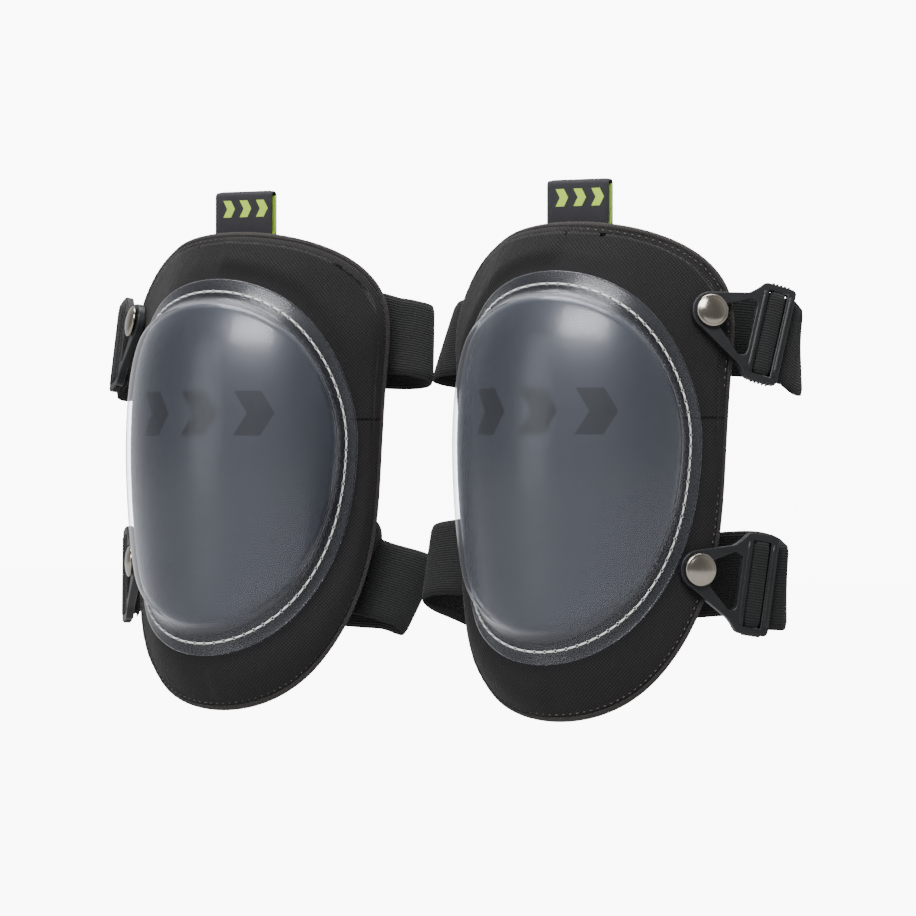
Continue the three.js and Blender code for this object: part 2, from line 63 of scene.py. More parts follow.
PAD_SPACING = 182
KNEE_HEIGHT = 120
PAD = {"half_width": 91, "bottom": 0, "widest": 160, "top": 228, "below": 3.1, "above": 3}
CAP = {"half_width": 77, "bottom": 26.5, "widest": 128, "top": 205, "below": 2, "above": 1.8}
WRAP_RADIUS = 57
FRONT_LINE = [(0, -30), (30, -41), (75, -43), (128, -44.5), (175, -40), (207, -28), (228, -17)]
WRAP_DEGREES = [(0, 38), (67, 48), (128, 50), (196, 42), (228, 40)]
FABRIC = 1.8
EDGE_THICKNESS = 5.6
MIDDLE_THICKNESS = 18
BINDING_WIDTH = 3
CAP_SEAT = 1
CAP_WALL = 2.3
FLANGE_WALL = 1.6
CAP_RISE = 11.2
FLANGE_WIDTH = 7.2
PANEL_RISE = 8.3
DOME_SHARE = 0.84
STUDS = {"upper": (76, 185.5, 16), "lower": (73.5, 69.5, 9)}
STUD_HEAD_RADIUS = 7.5
STUD_STAND = 5.6
CLIP_BACK = 1.5
CLIP_FRONT = 5.2
CLIP_RING = 9
CLIP_LENGTH = 37
CLIP_DROP = 2.5
CLIP_HALF_HEIGHT = 23
SLOT_START = 24.5
SLOT_WIDTH = 8.4
SLOT_HALF_LENGTH = 19.6
SLOT_MIDDLE = SLOT_START + SLOT_WIDTH / 2
BAR_RADIUS = 1.7
BAR_HEIGHT = 2.2
STRAP_WIDTH = 38
STRAP_THICKNESS = 1.8
STRAP_ROUTE = {
    "upper": [(-54, 9.2, 180), (-61, 15.8, 180), (-68, 20.4, 179.5), (-79.5, 20, 178), (-86, 25, 175.5),
              (-79.5, 31.5, 173), (-45, 35, 173), (0, 38, 175.5), (45, 41, 177.5), (77, 42.5, 174),
              (89, 38.5, 169), (93.5, 31.5, 167.5), (94.5, 23, 170)],
    "lower": [(-50, 4, 75), (-57, 10, 74.5), (-64, 14.8, 73), (-75, 15.5, 70), (-83.5, 20.5, 64.5),
              (-77, 28, 58.5), (-45, 32, 57.5), (0, 34, 61), (40, 36.5, 65.5), (70, 37.5, 67),
              (83.5, 33.5, 64), (89, 26.5, 61), (89.5, 19.5, 61.5)],
}
TAIL_SPAN = (0.56, 0.74)
# How each loop hangs: its extra reach inwards, its sag, its top's lean outwards and backwards at
# the inner side, and its top's lean outwards at the clip's side.
STRAP_HANG = {
    ("left", "upper"): (3.5, 1.5, 0.18, 0.31, -0.06),
    ("left", "lower"): (17.0, -1.0, -0.13, 0.50, -0.04),
    ("right", "upper"): (-0.5, 1.0, 0.16, 0.31, -0.06),
    ("right", "lower"): (-17.0, 7.0, -0.38, 0.50, -0.04),
}
TAB_WIDTH = 32
TAB_TOP = 248
TAB_FOOT = 221
TAB_LAYER = 1.2
TAB_FRONT = -7.2
TAB_BACK = -2
DART_HEIGHT = 138

# ---- Camera ----------------------------------------------------------------------------------

CAMERA_AZIMUTH = 30
CAMERA_DISTANCE = 2015
CAMERA_AIM_ACROSS = 20.6
CAMERA_LENS = 168.4


def make_camera():
    turn = radians(CAMERA_AZIMUTH)
    across = Vector((cos(turn), sin(turn), 0))
    toward = Vector((sin(turn), -cos(turn), 0))
    aim = across * CAMERA_AIM_ACROSS * MM
    data = bpy.data.cameras.new("camera")
    data.lens = CAMERA_LENS
    camera = bpy.data.objects.new("camera", data)
    camera.location = aim + toward * CAMERA_DISTANCE * MM
    camera.rotation_euler = (aim - camera.location).to_track_quat("-Z", "Y").to_euler()
    bpy.context.collection.objects.link(camera)
    bpy.context.scene.camera = camera


# ---- The pad's surface -----------------------------------------------------------------------

def line_through(pairs):
    """A smooth line through (position, value) pairs."""
    at = np.array([p[0] for p in pairs], float)
    value = np.array([p[1] for p in pairs], float)
    before = np.r_[0, np.arange(len(at) - 1)]
    after = np.r_[np.arange(1, len(at)), len(at) - 1]
    slope = (value[after] - value[before]) / (at[after] - at[before])

    def line(position):
        x = np.clip(position, at[0], at[-1])
        i = np.clip(np.searchsorted(at, x, side="right") - 1, 0, len(at) - 2)
        span = at[i + 1] - at[i]
        t = (x - at[i]) / span
        t2, t3 = t * t, t * t * t
        return ((2 * t3 - 3 * t2 + 1) * value[i] + (t3 - 2 * t2 + t) * span * slope[i]
                + (3 * t2 - 2 * t3) * value[i + 1] + (t3 - t2) * span * slope[i + 1])

    return line


front_line = line_through(FRONT_LINE)
wrap_degrees = line_through(WRAP_DEGREES)


def surface_point(across, height, out):
    """Points a distance out from the front fabric: round the knee on an arc, then straight."""
    limit = np.radians(wrap_degrees(height))
    turn = np.clip(across / WRAP_RADIUS, -limit, limit)
    straight = across - turn * WRAP_RADIUS
    x = WRAP_RADIUS * np.sin(turn) + straight * np.cos(turn) + out * np.sin(turn)
    y = front_line(height) + WRAP_RADIUS * (1 - np.cos(turn)) + straight * np.sin(turn) - out * np.cos(turn)
    return np.stack(np.broadcast_arrays(x, y, height), axis=-1)


def outline_point(outline, angle):
    upper = np.sin(angle) >= 0
    reach = np.where(upper, outline["top"] - outline["widest"], outline["bottom"] - outline["widest"])
    power = np.where(upper, outline["above"], outline["below"])
    height = outline["widest"] + reach * np.abs(np.sin(angle)) ** (2 / power)
    return np.stack([outline["half_width"] * np.cos(angle), height], axis=-1)


def even_angles(outline, count):
    """Angles that step evenly along the outline."""
    fine = np.linspace(0, 2 * pi, 4001)
    points = outline_point(outline, fine)
    run = np.r_[0, np.cumsum(np.linalg.norm(np.diff(points, axis=0), axis=1))]
    return np.interp(np.arange(count) * run[-1] / count, run, fine)


def outline_length(outline):
    points = outline_point(outline, np.linspace(0, 2 * pi, 4001))
    return np.linalg.norm(np.diff(points, axis=0), axis=1).sum()


def inset_point(outline, angle, share, inset):
    """The outline moved in by a share of its size and then by a distance."""
    step = 0.02
    along = outline_point(outline, angle + step) - outline_point(outline, angle - step)
    along /= np.linalg.norm(along, axis=-1, keepdims=True)
    centre = np.array([0, outline["widest"]])
    inward = np.stack([-along[..., 1], along[..., 0]], axis=-1)
    return centre + (outline_point(outline, angle) - centre) * share + inward * inset


def outline_level(outline, across, height):
    """0 at the middle of an outline and 1 on it."""
    upper = height >= outline["widest"]
    reach = np.where(upper, outline["top"] - outline["widest"], outline["widest"] - outline["bottom"])
    power = np.where(upper, outline["above"], outline["below"])
    rise = (np.abs(height - outline["widest"]) / reach) ** power
    return np.sqrt((across / outline["half_width"]) ** 2 + rise)


def smooth_step(low, high, value):
    t = np.clip((value - low) / (high - low), 0, 1)
    return t * t * (3 - 2 * t)


def ripple(points, size, seed):
    """Soft unevenness, the same on every run."""
    offset = Vector((seed, 0, 0))
    flat = points.reshape(-1, points.shape[-1])
    values = [noise.noise(Vector((p[0] / size, p[1] / size, 0)) + offset) for p in flat]
    return np.array(values).reshape(points.shape[:-1])


def thickness(share):
    return EDGE_THICKNESS + (MIDDLE_THICKNESS - EDGE_THICKNESS) * (1 - share * share)


# ---- Meshes ----------------------------------------------------------------------------------

def to_frame(points, side):
    """Pad coordinates to the model's frame, in metres."""
    placed = np.array(points, float) * (side, 1, 1) + (side * PAD_SPACING / 2, 0, -KNEE_HEIGHT)
    return placed * MM


def new_piece(name, points, faces, material, flat=None, smooth=True):
    """A mesh object; `flat` holds each point's place on the flat pattern, in metres, as UV."""
    mesh = bpy.data.meshes.new(name)
    mesh.from_pydata([tuple(p) for p in points], [], faces)
    mesh.validate()
    if flat is not None:
        layer = mesh.uv_layers.new(name="flat")
        corners = np.array([loop.vertex_index for loop in mesh.loops])
        layer.data.foreach_set("uv", np.asarray(flat, float)[corners].ravel())
    mesh.polygons.foreach_set("use_smooth", [smooth] * len(mesh.polygons))
    mesh.materials.append(material)
    piece = bpy.data.objects.new(name, mesh)
    bpy.context.collection.objects.link(piece)
    return piece


def wound(faces, side):
    """Faces turned round on the mirrored pad, so that they still face out."""
    return faces if side > 0 else [tuple(reversed(face)) for face in faces]


def grid_faces(rows, columns, closed_rows=False, closed_columns=False):
    faces = []
    for i in range(rows if closed_rows else rows - 1):
        for j in range(columns if closed_columns else columns - 1):
            a, b = i * columns + j, i * columns + (j + 1) % columns
            c, d = ((i + 1) % rows) * columns + (j + 1) % columns, ((i + 1) % rows) * columns + j
            faces.append((a, b, c, d))
    return faces


def wrapped_layer(name, side, outline, section, around, material, shape=None):
    """A layer like the CAD's: rows of (share, inset, out) laid along an outline.

    A section that starts and ends at share 0 closes at the middle; any other closes on itself.
    `shape` adds to each point's distance out, from its flat place.
    """
    closed = section[0][0] > 0
    rows = section if closed else section[1:-1]
    angles = even_angles(outline, around)
    share, inset, out = (np.array([row[k] for row in rows], float)[:, None] for k in range(3))
    flat = np.stack([inset_point(outline, angles, s, e) for s, e in zip(share[:, 0], inset[:, 0])])
    out = np.broadcast_to(out, flat.shape[:-1]).copy()
    if shape is not None:
        out += shape(flat[..., 0], flat[..., 1], np.arange(len(rows))[:, None])
    points = surface_point(flat[..., 0], flat[..., 1], out).reshape(-1, 3)
    faces = grid_faces(len(rows), around, closed_rows=closed, closed_columns=True)
    flat = flat.reshape(-1, 2)
    if not closed:
        middle = np.array([0, outline["widest"]])
        ends = [surface_point(middle[0], middle[1], section[k][2] + (out[k].mean() - rows[k][2])) for k in (0, -1)]
        first, last = len(points), len(points) + 1
        points = np.vstack([points, ends])
        flat = np.vstack([flat, [middle, middle]])
        base = (len(rows) - 1) * around
        faces += [(first, (j + 1) % around, j) for j in range(around)]
        faces += [(last, base + j, base + (j + 1) % around) for j in range(around)]
    faces = [tuple(reversed(face)) for face in faces]
    return new_piece(name, to_frame(points, side), wound(faces, side), material, flat * MM)


def tube_mesh(path, radius, sides, closed=False, flatten=1.0, up=None):
    """Points and faces of a round tube along a path, with closed ends."""
    path = np.asarray(path, float)
    ahead = np.roll(path, -1, axis=0) if closed else np.vstack([path[1:], 2 * path[-1] - path[-2]])
    behind = np.roll(path, 1, axis=0) if closed else np.vstack([2 * path[0] - path[1], path[:-1]])
    along = ahead - behind
    along /= np.linalg.norm(along, axis=1, keepdims=True)
    up = np.broadcast_to((0, 0, 1) if up is None else up, path.shape)
    across = np.cross(along, up)
    across /= np.linalg.norm(across, axis=1, keepdims=True)
    lift = np.cross(across, along)
    radius = np.broadcast_to(radius, len(path))[:, None]
    rings = [path + across * radius * cos(t) + lift * radius * flatten * sin(t)
             for t in np.linspace(0, 2 * pi, sides, endpoint=False)]
    points = np.stack(rings, axis=1).reshape(-1, 3)
    faces = grid_faces(len(path), sides, closed_rows=closed, closed_columns=True)
    if not closed:
        faces.append(tuple(range(sides - 1, -1, -1)))
        faces.append(tuple((len(path) - 1) * sides + k for k in range(sides)))
    return points, faces


def joined(parts):
    """Several (points, faces) as one."""
    points, faces, base = [], [], 0
    for part_points, part_faces in parts:
        points.append(part_points)
        faces += [tuple(base + k for k in face) for face in part_faces]
        base += len(part_points)
    return np.vstack(points), faces


# ---- Materials -------------------------------------------------------------------------------

class Nodes:
    """A short way to write a material's node tree."""

    def __init__(self, name):
        self.material = bpy.data.materials.new(name)
        self.material.use_nodes = True
        self.tree = self.material.node_tree
        self.tree.nodes.clear()
        self.output = self.tree.nodes.new("ShaderNodeOutputMaterial")

    def add(self, kind, settings=None, **inputs):
        node = self.tree.nodes.new("ShaderNode" + kind)
        for key, value in (settings or {}).items():
            setattr(node, key, value)
        for key, value in inputs.items():
            self.put(node, key.replace("_", " ") if key.replace("_", " ") in node.inputs else key, value)
        return node

    def put(self, node, key, value):
        if isinstance(value, bpy.types.NodeSocket):
            self.tree.links.new(value, node.inputs[key])
        elif isinstance(value, bpy.types.Node):
            self.tree.links.new(value.outputs[0], node.inputs[key])
        else:
            node.inputs[key].default_value = value

    def math(self, operation, a, b=0.0):
        node = self.tree.nodes.new("ShaderNodeMath")
        node.operation = operation
        self.put(node, 0, a)
        self.put(node, 1, b)
        return node.outputs[0]

    def mix_colour(self, factor, a, b):
        node = self.tree.nodes.new("ShaderNodeMix")
        node.data_type = "RGBA"
        for index, value in ((0, factor), (6, a), (7, b)):
            if isinstance(value, bpy.types.NodeSocket):
                self.tree.links.new(value, node.inputs[index])
            else:
                node.inputs[index].default_value = value
        return node.outputs[2]

    def flat_place(self):
        """The flat pattern's across and height, in millimetres."""
        uv = self.add("UVMap", {"uv_map": "flat"})
        parts = self.add("SeparateXYZ", Vector=uv)
        return (self.math("DIVIDE", parts.outputs[0], MM), self.math("DIVIDE", parts.outputs[1], MM))

    def finish(self, shader):
        self.tree.links.new(shader.outputs[0], self.output.inputs["Surface"])
        return self.material


def wave(nodes, place, pitch, phase=0.0):
    """A ridge pattern from -1 to 1 with the given pitch."""
    turns = nodes.math("MULTIPLY", place, 2 * pi / pitch)
    return nodes.math("SINE", nodes.math("ADD", turns, phase))


def bump(nodes, height, distance, strength=1.0, after=None):
    node = nodes.add("Bump", Height=height, Distance=distance * MM, Strength=strength)
    if after is not None:
        nodes.put(node, "Normal", after)
    return node.outputs[0]


def rgb(r, g, b):
    return (r, g, b, 1)


def shell_fabric():
    """Plain-woven polyester in charcoal, with a sewn dart across each flank."""
    n = Nodes("shell_fabric")
    across, height = n.flat_place()
    pitch = 1.7
    weave = n.math("MULTIPLY", wave(n, across, pitch), wave(n, height, pitch))
    speckle = n.add("TexNoise", Scale=900.0, Detail=2.0)
    cloudy = n.add("TexNoise", Scale=22.0, Detail=4.0)
    dart = n.math("ABSOLUTE", n.math("SUBTRACT", height, DART_HEIGHT))
    dart = n.add("MapRange", {"interpolation_type": "SMOOTHSTEP"}, Value=dart, From_Min=0.2, From_Max=0.9)
    thread = n.math("ADD", n.math("MULTIPLY", weave, 0.45), n.math("MULTIPLY", speckle.outputs[0], 0.7))
    tone = n.mix_colour(thread, rgb(0.0040, 0.0037, 0.0040), rgb(0.024, 0.0222, 0.0235))
    tone = n.mix_colour(n.math("MULTIPLY", cloudy.outputs[0], 0.35), tone, rgb(0.0075, 0.007, 0.0074))
    tone = n.mix_colour(dart.outputs[0], rgb(0.002, 0.002, 0.002), tone)
    normal = bump(n, weave, 0.12)
    normal = bump(n, dart.outputs[0], 0.6, after=normal)
    normal = bump(n, cloudy.outputs[0], 0.8, 0.4, after=normal)
    shader = n.add("BsdfPrincipled", Base_Color=tone, Roughness=0.86, Normal=normal)
    shader.inputs["Sheen Weight"].default_value = 0.05
    shader.inputs["Sheen Roughness"].default_value = 0.4
    shader.inputs["Specular IOR Level"].default_value = 0.2
    return n.finish(shader)


def liner_fabric():
    """Brushed knit against the knee, with sewn channels."""
    n = Nodes("liner_fabric")
    across, height = n.flat_place()
    knit = n.math("MULTIPLY", wave(n, across, 1.6), wave(n, height, 1.2))
    channel = n.math("ABSOLUTE", wave(n, height, 76, 0.6))
    groove = n.add("MapRange", {"interpolation_type": "SMOOTHSTEP"}, Value=channel, From_Max=0.12)
    fuzz = n.add("TexNoise", Scale=700.0, Detail=3.0)
    tone = n.mix_colour(fuzz.outputs[0], rgb(0.004, 0.004, 0.0045), rgb(0.018, 0.018, 0.020))
    tone = n.mix_colour(groove.outputs[0], rgb(0.002, 0.002, 0.002), tone)
    normal = bump(n, knit, 0.12)
    normal = bump(n, groove.outputs[0], 1.2, after=normal)
    shader = n.add("BsdfPrincipled", Base_Color=tone, Roughness=0.95, Normal=normal)
    shader.inputs["Sheen Weight"].default_value = 0.08
    return n.finish(shader)


def overlock():
    """Tight thread over the shell's raw edge."""
    n = Nodes("overlock")
    across, height = n.flat_place()
    run = n.math("ADD", across, height)
    strands = wave(n, run, 1.3)
    fuzz = n.add("TexNoise", Scale=1200.0, Detail=2.0)
    tone = n.mix_colour(fuzz.outputs[0], rgb(0.005, 0.004, 0.004), rgb(0.024, 0.018, 0.017))
    normal = bump(n, strands, 0.25)
    shader = n.add("BsdfPrincipled", Base_Color=tone, Roughness=0.9, Normal=normal)
    shader.inputs["Sheen Weight"].default_value = 0.05
    return n.finish(shader)


def chevron_mask(n, across, height, centre, size, count, spacing):
    """A row of plain chevrons: 1 inside them and 0 outside."""
    total = None
    for k in range(count):
        x = n.math("SUBTRACT", across, (k - (count - 1) / 2) * spacing)
        y = n.math("SUBTRACT", height, centre)
        slant = n.math("SUBTRACT", x, n.math("MULTIPLY", n.math("ABSOLUTE", y), -0.55))
        inside_x = n.math("LESS_THAN", n.math("ABSOLUTE", n.math("SUBTRACT", slant, size * 0.3)), size * 0.27)
        inside_y = n.math("LESS_THAN", n.math("ABSOLUTE", y), size / 2)
        one = n.math("MULTIPLY", inside_x, inside_y)
        total = one if total is None else n.math("MAXIMUM", total, one)
    return total


def grey_panel():
    """Satin grey padded panel with a plain printed row of chevrons."""
    n = Nodes("grey_panel")
    across, height = n.flat_place()
    grain = n.add("TexNoise", Scale=1500.0, Detail=2.0)
    drift = n.add("TexNoise", Scale=14.0, Detail=3.0)
    tone = n.mix_colour(grain.outputs[0], rgb(0.015, 0.0152, 0.0185), rgb(0.046, 0.0465, 0.054))
    tone = n.mix_colour(n.math("MULTIPLY", drift.outputs[0], 0.5), tone, rgb(0.029, 0.029, 0.032))
    mark = chevron_mask(n, across, height, 141, 21, 3, 24)
    tone = n.mix_colour(n.math("MULTIPLY", mark, 0.93), tone, rgb(0.003, 0.003, 0.004))
    normal = bump(n, grain.outputs[0], 0.05)
    shader = n.add("BsdfPrincipled", Base_Color=tone, Roughness=0.5, Normal=normal)
    shader.inputs["Specular IOR Level"].default_value = 0.4
    return n.finish(shader)


def clear_tpu():
    """Clear, slightly blue urethane: see-through face on, brighter where seen edge on."""
    n = Nodes("clear_tpu")
    haze = n.add("TexNoise", Scale=30.0, Detail=4.0)
    normal = bump(n, haze.outputs[0], 0.2, 0.4)
    facing = n.add("LayerWeight", Blend=0.5, Normal=normal).outputs["Facing"]
    mirror = n.math("ADD", n.math("MULTIPLY", n.math("POWER", facing, 4.2), 0.85), 0.026)
    edge_on = n.math("POWER", facing, 3.0)
    tint = n.mix_colour(edge_on, rgb(0.92, 0.94, 0.975), rgb(0.34, 0.36, 0.40))
    clear = n.add("BsdfTransparent", Color=tint)
    blur = n.add("BsdfAnisotropic", Color=rgb(0.97, 0.97, 1.0), Roughness=0.32, Normal=normal)
    sharp = n.add("BsdfAnisotropic", Color=rgb(0.97, 0.98, 1.0), Roughness=0.17, Normal=normal)
    milk = n.add("BsdfDiffuse", Color=rgb(0.52, 0.55, 0.62), Normal=normal)
    body = n.add("MixShader")
    n.put(body, 0, n.math("ADD", n.math("MULTIPLY", n.math("POWER", facing, 4.0), 0.22), 0.004))
    n.put(body, 1, clear)
    n.put(body, 2, milk)
    gloss = n.add("MixShader")
    gloss.inputs[0].default_value = 0.16
    n.put(gloss, 1, blur)
    n.put(gloss, 2, sharp)
    skin = n.add("MixShader")
    n.put(skin, 0, mirror)
    n.put(skin, 1, body)
    n.put(skin, 2, gloss)
    return n.finish(skin)


def thread(name, colour):
    """Twisted sewing thread; also the near-black painted shade of the needle holes."""
    n = Nodes(name)
    place = n.add("TexCoord")
    twist = n.add("TexWave", Vector=place.outputs["Object"], Scale=600.0, Distortion=1.0)
    dark = tuple(c * 0.75 for c in colour) + (1,)
    tone = n.mix_colour(twist.outputs[1], dark, rgb(*colour))
    normal = bump(n, twist.outputs[1], 0.08)
    shader = n.add("BsdfPrincipled", Base_Color=tone, Roughness=0.6, Normal=normal)
    return n.finish(shader)


def strap_elastic():
    """Black elastic webbing: fine cords along the band with crossing weft."""
    n = Nodes("strap_elastic")
    along, width = n.flat_place()
    cords = wave(n, width, 1.25)
    weft = n.math("MULTIPLY", wave(n, along, 0.9), wave(n, width, 2.5))
    fuzz = n.add("TexNoise", Scale=800.0, Detail=3.0)
    uneven = n.add("TexNoise", Scale=60.0, Detail=2.0)
    level = n.math("ADD", n.math("MULTIPLY", cords, 0.2), n.math("MULTIPLY", fuzz.outputs[0], 0.7))
    tone = n.mix_colour(level, rgb(0.005, 0.005, 0.0052), rgb(0.020, 0.0205, 0.021))
    tone = n.mix_colour(n.math("MULTIPLY", uneven.outputs[0], 0.3), tone, rgb(0.010, 0.0105, 0.011))
    normal = bump(n, cords, 0.16)
    normal = bump(n, weft, 0.10, after=normal)
    shader = n.add("BsdfPrincipled", Base_Color=tone, Roughness=0.88, Normal=normal)
    shader.inputs["Sheen Weight"].default_value = 0.05
    shader.inputs["Specular IOR Level"].default_value = 0.2
    return n.finish(shader)


def tab_weave():
    """Dense black ribbon with a lime woven mark near the fold."""
    n = Nodes("tab_weave")
    across, height = n.flat_place()
    ribs = n.math("MULTIPLY", wave(n, across, 0.9), wave(n, height, 0.7))
    fuzz = n.add("TexNoise", Scale=900.0, Detail=2.0)
    black = n.mix_colour(fuzz.outputs[0], rgb(0.004, 0.004, 0.007), rgb(0.017, 0.016, 0.022))
    lime = n.mix_colour(fuzz.outputs[0], rgb(0.30, 0.50, 0.02), rgb(0.55, 0.82, 0.06))
    mark = chevron_mask(n, across, height, 0, 8.0, 3, 9.3)
    tone = n.mix_colour(mark, black, lime)
    normal = bump(n, ribs, 0.10)
    shader = n.add("BsdfPrincipled", Base_Color=tone, Roughness=0.75, Normal=normal)
    shader.inputs["Sheen Weight"].default_value = 0.05
    return n.finish(shader)


def lime_weave():
    n = Nodes("lime_weave")
    across, height = n.flat_place()
    ribs = n.math("MULTIPLY", wave(n, across, 0.9), wave(n, height, 0.7))
    tone = n.mix_colour(n.math("MULTIPLY_ADD", ribs, 0.5), rgb(0.28, 0.52, 0.02), rgb(0.50, 0.80, 0.05))
    normal = bump(n, ribs, 0.10)
    shader = n.add("BsdfPrincipled", Base_Color=tone, Roughness=0.8, Normal=normal)
    return n.finish(shader)


def clip_plastic():
    """Satin acetal moulding: fine spark-eroded grain, with a painted highlight that lightens its edges a little."""
    n = Nodes("clip_plastic")
    place = n.add("TexCoord")
    grain = n.add("TexNoise", Vector=place.outputs["Object"], Scale=1400.0, Detail=2.0)
    scuff = n.add("TexNoise", Vector=place.outputs["Object"], Scale=120.0, Detail=4.0)
    # Painted highlight: the convex edges are painted a lighter blue-grey.
    edge_geometry = n.add("NewGeometry")
    edge_highlight = n.add("MapRange", Value=edge_geometry.outputs["Pointiness"], From_Min=0.50, From_Max=0.58)
    tone = n.mix_colour(scuff.outputs[0], rgb(0.0045, 0.0048, 0.0055), rgb(0.0085, 0.009, 0.0105))
    tone = n.mix_colour(n.math("MULTIPLY", edge_highlight.outputs[0], 0.4), tone, rgb(0.030, 0.032, 0.037))
    rough = n.add("MapRange", Value=scuff.outputs[0], To_Min=0.36, To_Max=0.52)
    normal = bump(n, grain.outputs[0], 0.04)
    shader = n.add("BsdfPrincipled", Base_Color=tone, Roughness=rough, Normal=normal)
    shader.inputs["Specular IOR Level"].default_value = 0.3
    return n.finish(shader)


def stud_metal():
    """Satin nickel with a warm cast and faint turning marks."""
    n = Nodes("stud_metal")
    place = n.add("TexCoord")
    smear = n.add("TexNoise", Vector=place.outputs["Object"], Scale=90.0, Detail=5.0)
    fine = n.add("TexNoise", Vector=place.outputs["Object"], Scale=1600.0, Detail=2.0)
    tone = n.mix_colour(smear.outputs[0], rgb(0.22, 0.20, 0.165), rgb(0.38, 0.35, 0.30))
    rough = n.add("MapRange", Value=smear.outputs[0], To_Min=0.12, To_Max=0.24)
    normal = bump(n, fine.outputs[0], 0.02)
    shader = n.add("BsdfPrincipled", Base_Color=tone, Metallic=1.0, Roughness=rough, Normal=normal)
    return n.finish(shader)


def soft_filling(name, dark, light, roughness):
    """Foam or gel inside the shell."""
    n = Nodes(name)
    cells = n.add("TexVoronoi", Scale=900.0)
    tone = n.mix_colour(cells.outputs[0], rgb(*dark), rgb(*light))
    normal = bump(n, cells.outputs[0], 0.15)
    shader = n.add("BsdfPrincipled", Base_Color=tone, Roughness=roughness, Normal=normal)
    return n.finish(shader)


MATERIALS = {
    "shell_fabric": shell_fabric(),
    "liner_fabric": liner_fabric(),
    "overlock": overlock(),
    "grey_panel": grey_panel(),
    "clear_tpu": clear_tpu(),
    "white_thread": thread("white_thread", (0.86, 0.86, 0.84)),
    "grey_thread": thread("grey_thread", (0.085, 0.075, 0.07)),
    # Painted shade: near-black beads stand for the shade inside the needle holes.
    "needle_hole_shade": thread("needle_hole_shade", (0.010, 0.011, 0.013)),
    "strap_elastic": strap_elastic(),
    "tab_weave": tab_weave(),
    "lime_weave": lime_weave(),
    "clip_plastic": clip_plastic(),
    "stud_metal": stud_metal(),
    "foam": soft_filling("foam", (0.05, 0.05, 0.055), (0.10, 0.10, 0.11), 1.0),
    "gel": soft_filling("gel", (0.12, 0.22, 0.34), (0.22, 0.36, 0.50), 0.3),
}
SLOT_MATERIALS = {"foam": "foam", "gel": "gel", "stud_metal": "stud_metal", "thread": "white_thread"}

# ---- Shell -----------------------------------------------------------------------------------

AROUND = 200


def cover_shape(across, height, row):
    """Fullness between the cap and the rim, with soft unevenness."""
    outside_cap = smooth_step(1.02, 1.12, outline_level(CAP, across, height))
    inside_rim = 1 - smooth_step(0.90, 0.99, outline_level(PAD, across, height))
    uneven = ripple(np.stack([across, height], axis=-1), 23, 3.0)
    # The clips lie close to the fabric, so it swells only between them.
    between_clips = smooth_step(96, 108, height) * (1 - smooth_step(148, 160, height))
    swell = np.where(across < 0, 1, between_clips)
    clear_of_clips = np.where(across < 20, 1, 0.4)
    return outside_cap * inside_rim * (clear_of_clips * (0.7 + 0.7 * uneven) + 2.0 * swell)


def make_cover(prefix, side):
    edge = BINDING_WIDTH - 0.6
    shares = list(np.linspace(0, 0.93, 44))
    front = [(s, 0, 0) for s in shares]
    rim = [(1, e, out) for e, out in ((6.4, -0.05), (5.4, -0.1), (4.6, -0.25), (4.0, -0.2), (edge, -0.3))]
    back = [(1, edge, -FABRIC), (1, 6.4, -FABRIC)] + [(s, 0, -FABRIC) for s in (0.86, 0.5, 0.25, 0)]
    front_rows = len(front) + len(rim) - 1

    def shape(across, height, row):
        return np.where(row < front_rows, cover_shape(across, height, row), 0)

    piece = wrapped_layer(f"{prefix}_shell_cover", side, PAD, front + rim + back, AROUND,
                          MATERIALS["shell_fabric"], shape)
    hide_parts(f"{prefix}_front_cover")
    return piece


def make_liner(prefix, side):
    edge = BINDING_WIDTH - 0.6
    rim = -thickness(0.95)
    rear = [(s, 0, -thickness(s)) for s in np.linspace(0, 0.93, 30)]
    section = [(s, 0, -thickness(s) + FABRIC) for s in (0, 0.25, 0.5, 0.7, 0.86)]
    section += [(1, edge, rim + FABRIC), (1, edge, rim)] + rear[::-1]

    def shape(across, height, row):
        quilt = np.abs(np.sin(height * pi / 76 + 0.3)) ** 0.5
        uneven = ripple(np.stack([across, height], axis=-1), 18, 9.0)
        inside = 1 - smooth_step(0.8, 0.95, outline_level(PAD, across, height))
        return np.where(row > 6, -(0.9 * quilt + 0.5 * uneven - 0.5) * inside, 0)

    piece = wrapped_layer(f"{prefix}_knee_liner", side, PAD, section, AROUND, MATERIALS["liner_fabric"], shape)
    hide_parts(f"{prefix}_rear_liner")
    return piece


def make_binding(prefix, side):
    front, back = 0.35, -thickness(0.95) - 0.4
    middle, half = (front + back) / 2, (front - back) / 2
    section = []
    for t in np.linspace(0, 2 * pi, 17)[:-1]:
        lean = abs(cos(t)) ** 0.7 * np.sign(cos(t))
        section.append((1, BINDING_WIDTH / 2 - BINDING_WIDTH / 2 * lean, middle + half * sin(t)))

    def shape(across, height, row):
        return 0.18 * ripple(np.stack([across, height], axis=-1), 3.0, 5.0)

    piece = wrapped_layer(f"{prefix}_overlocked_rim", side, PAD, section, 3 * AROUND, MATERIALS["overlock"], shape)
    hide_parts(f"{prefix}_edge_binding")
    return piece


def stitch_run(outline, inset, out, pitch, length, radius, dip):
    """Short threads laid end to end round an outline, each dipping into the cloth at its ends."""
    count = round(outline_length(outline) / pitch)
    angles = even_angles(outline, count * 60)
    flat = inset_point(outline, angles, 1, inset)
    parts = []
    for k in range(count):
        steps = np.arange(9) - 4
        share = steps / 4 * (length / pitch)
        index = (k * 60 + np.round(share * 30).astype(int)) % len(flat)
        lift = out - dip * np.abs(steps / 4) ** 3
        path = surface_point(flat[index, 0], flat[index, 1], lift)
        thick = radius * (1 - 0.35 * np.abs(steps / 4) ** 4)
        parts.append(tube_mesh(path, thick, 6, up=path_up(flat[index])))
    return joined(parts)


def path_up(flat):
    """The way out of the surface at flat places."""
    inner = surface_point(flat[:, 0], flat[:, 1], 0)
    outer = surface_point(flat[:, 0], flat[:, 1], 1)
    return outer - inner


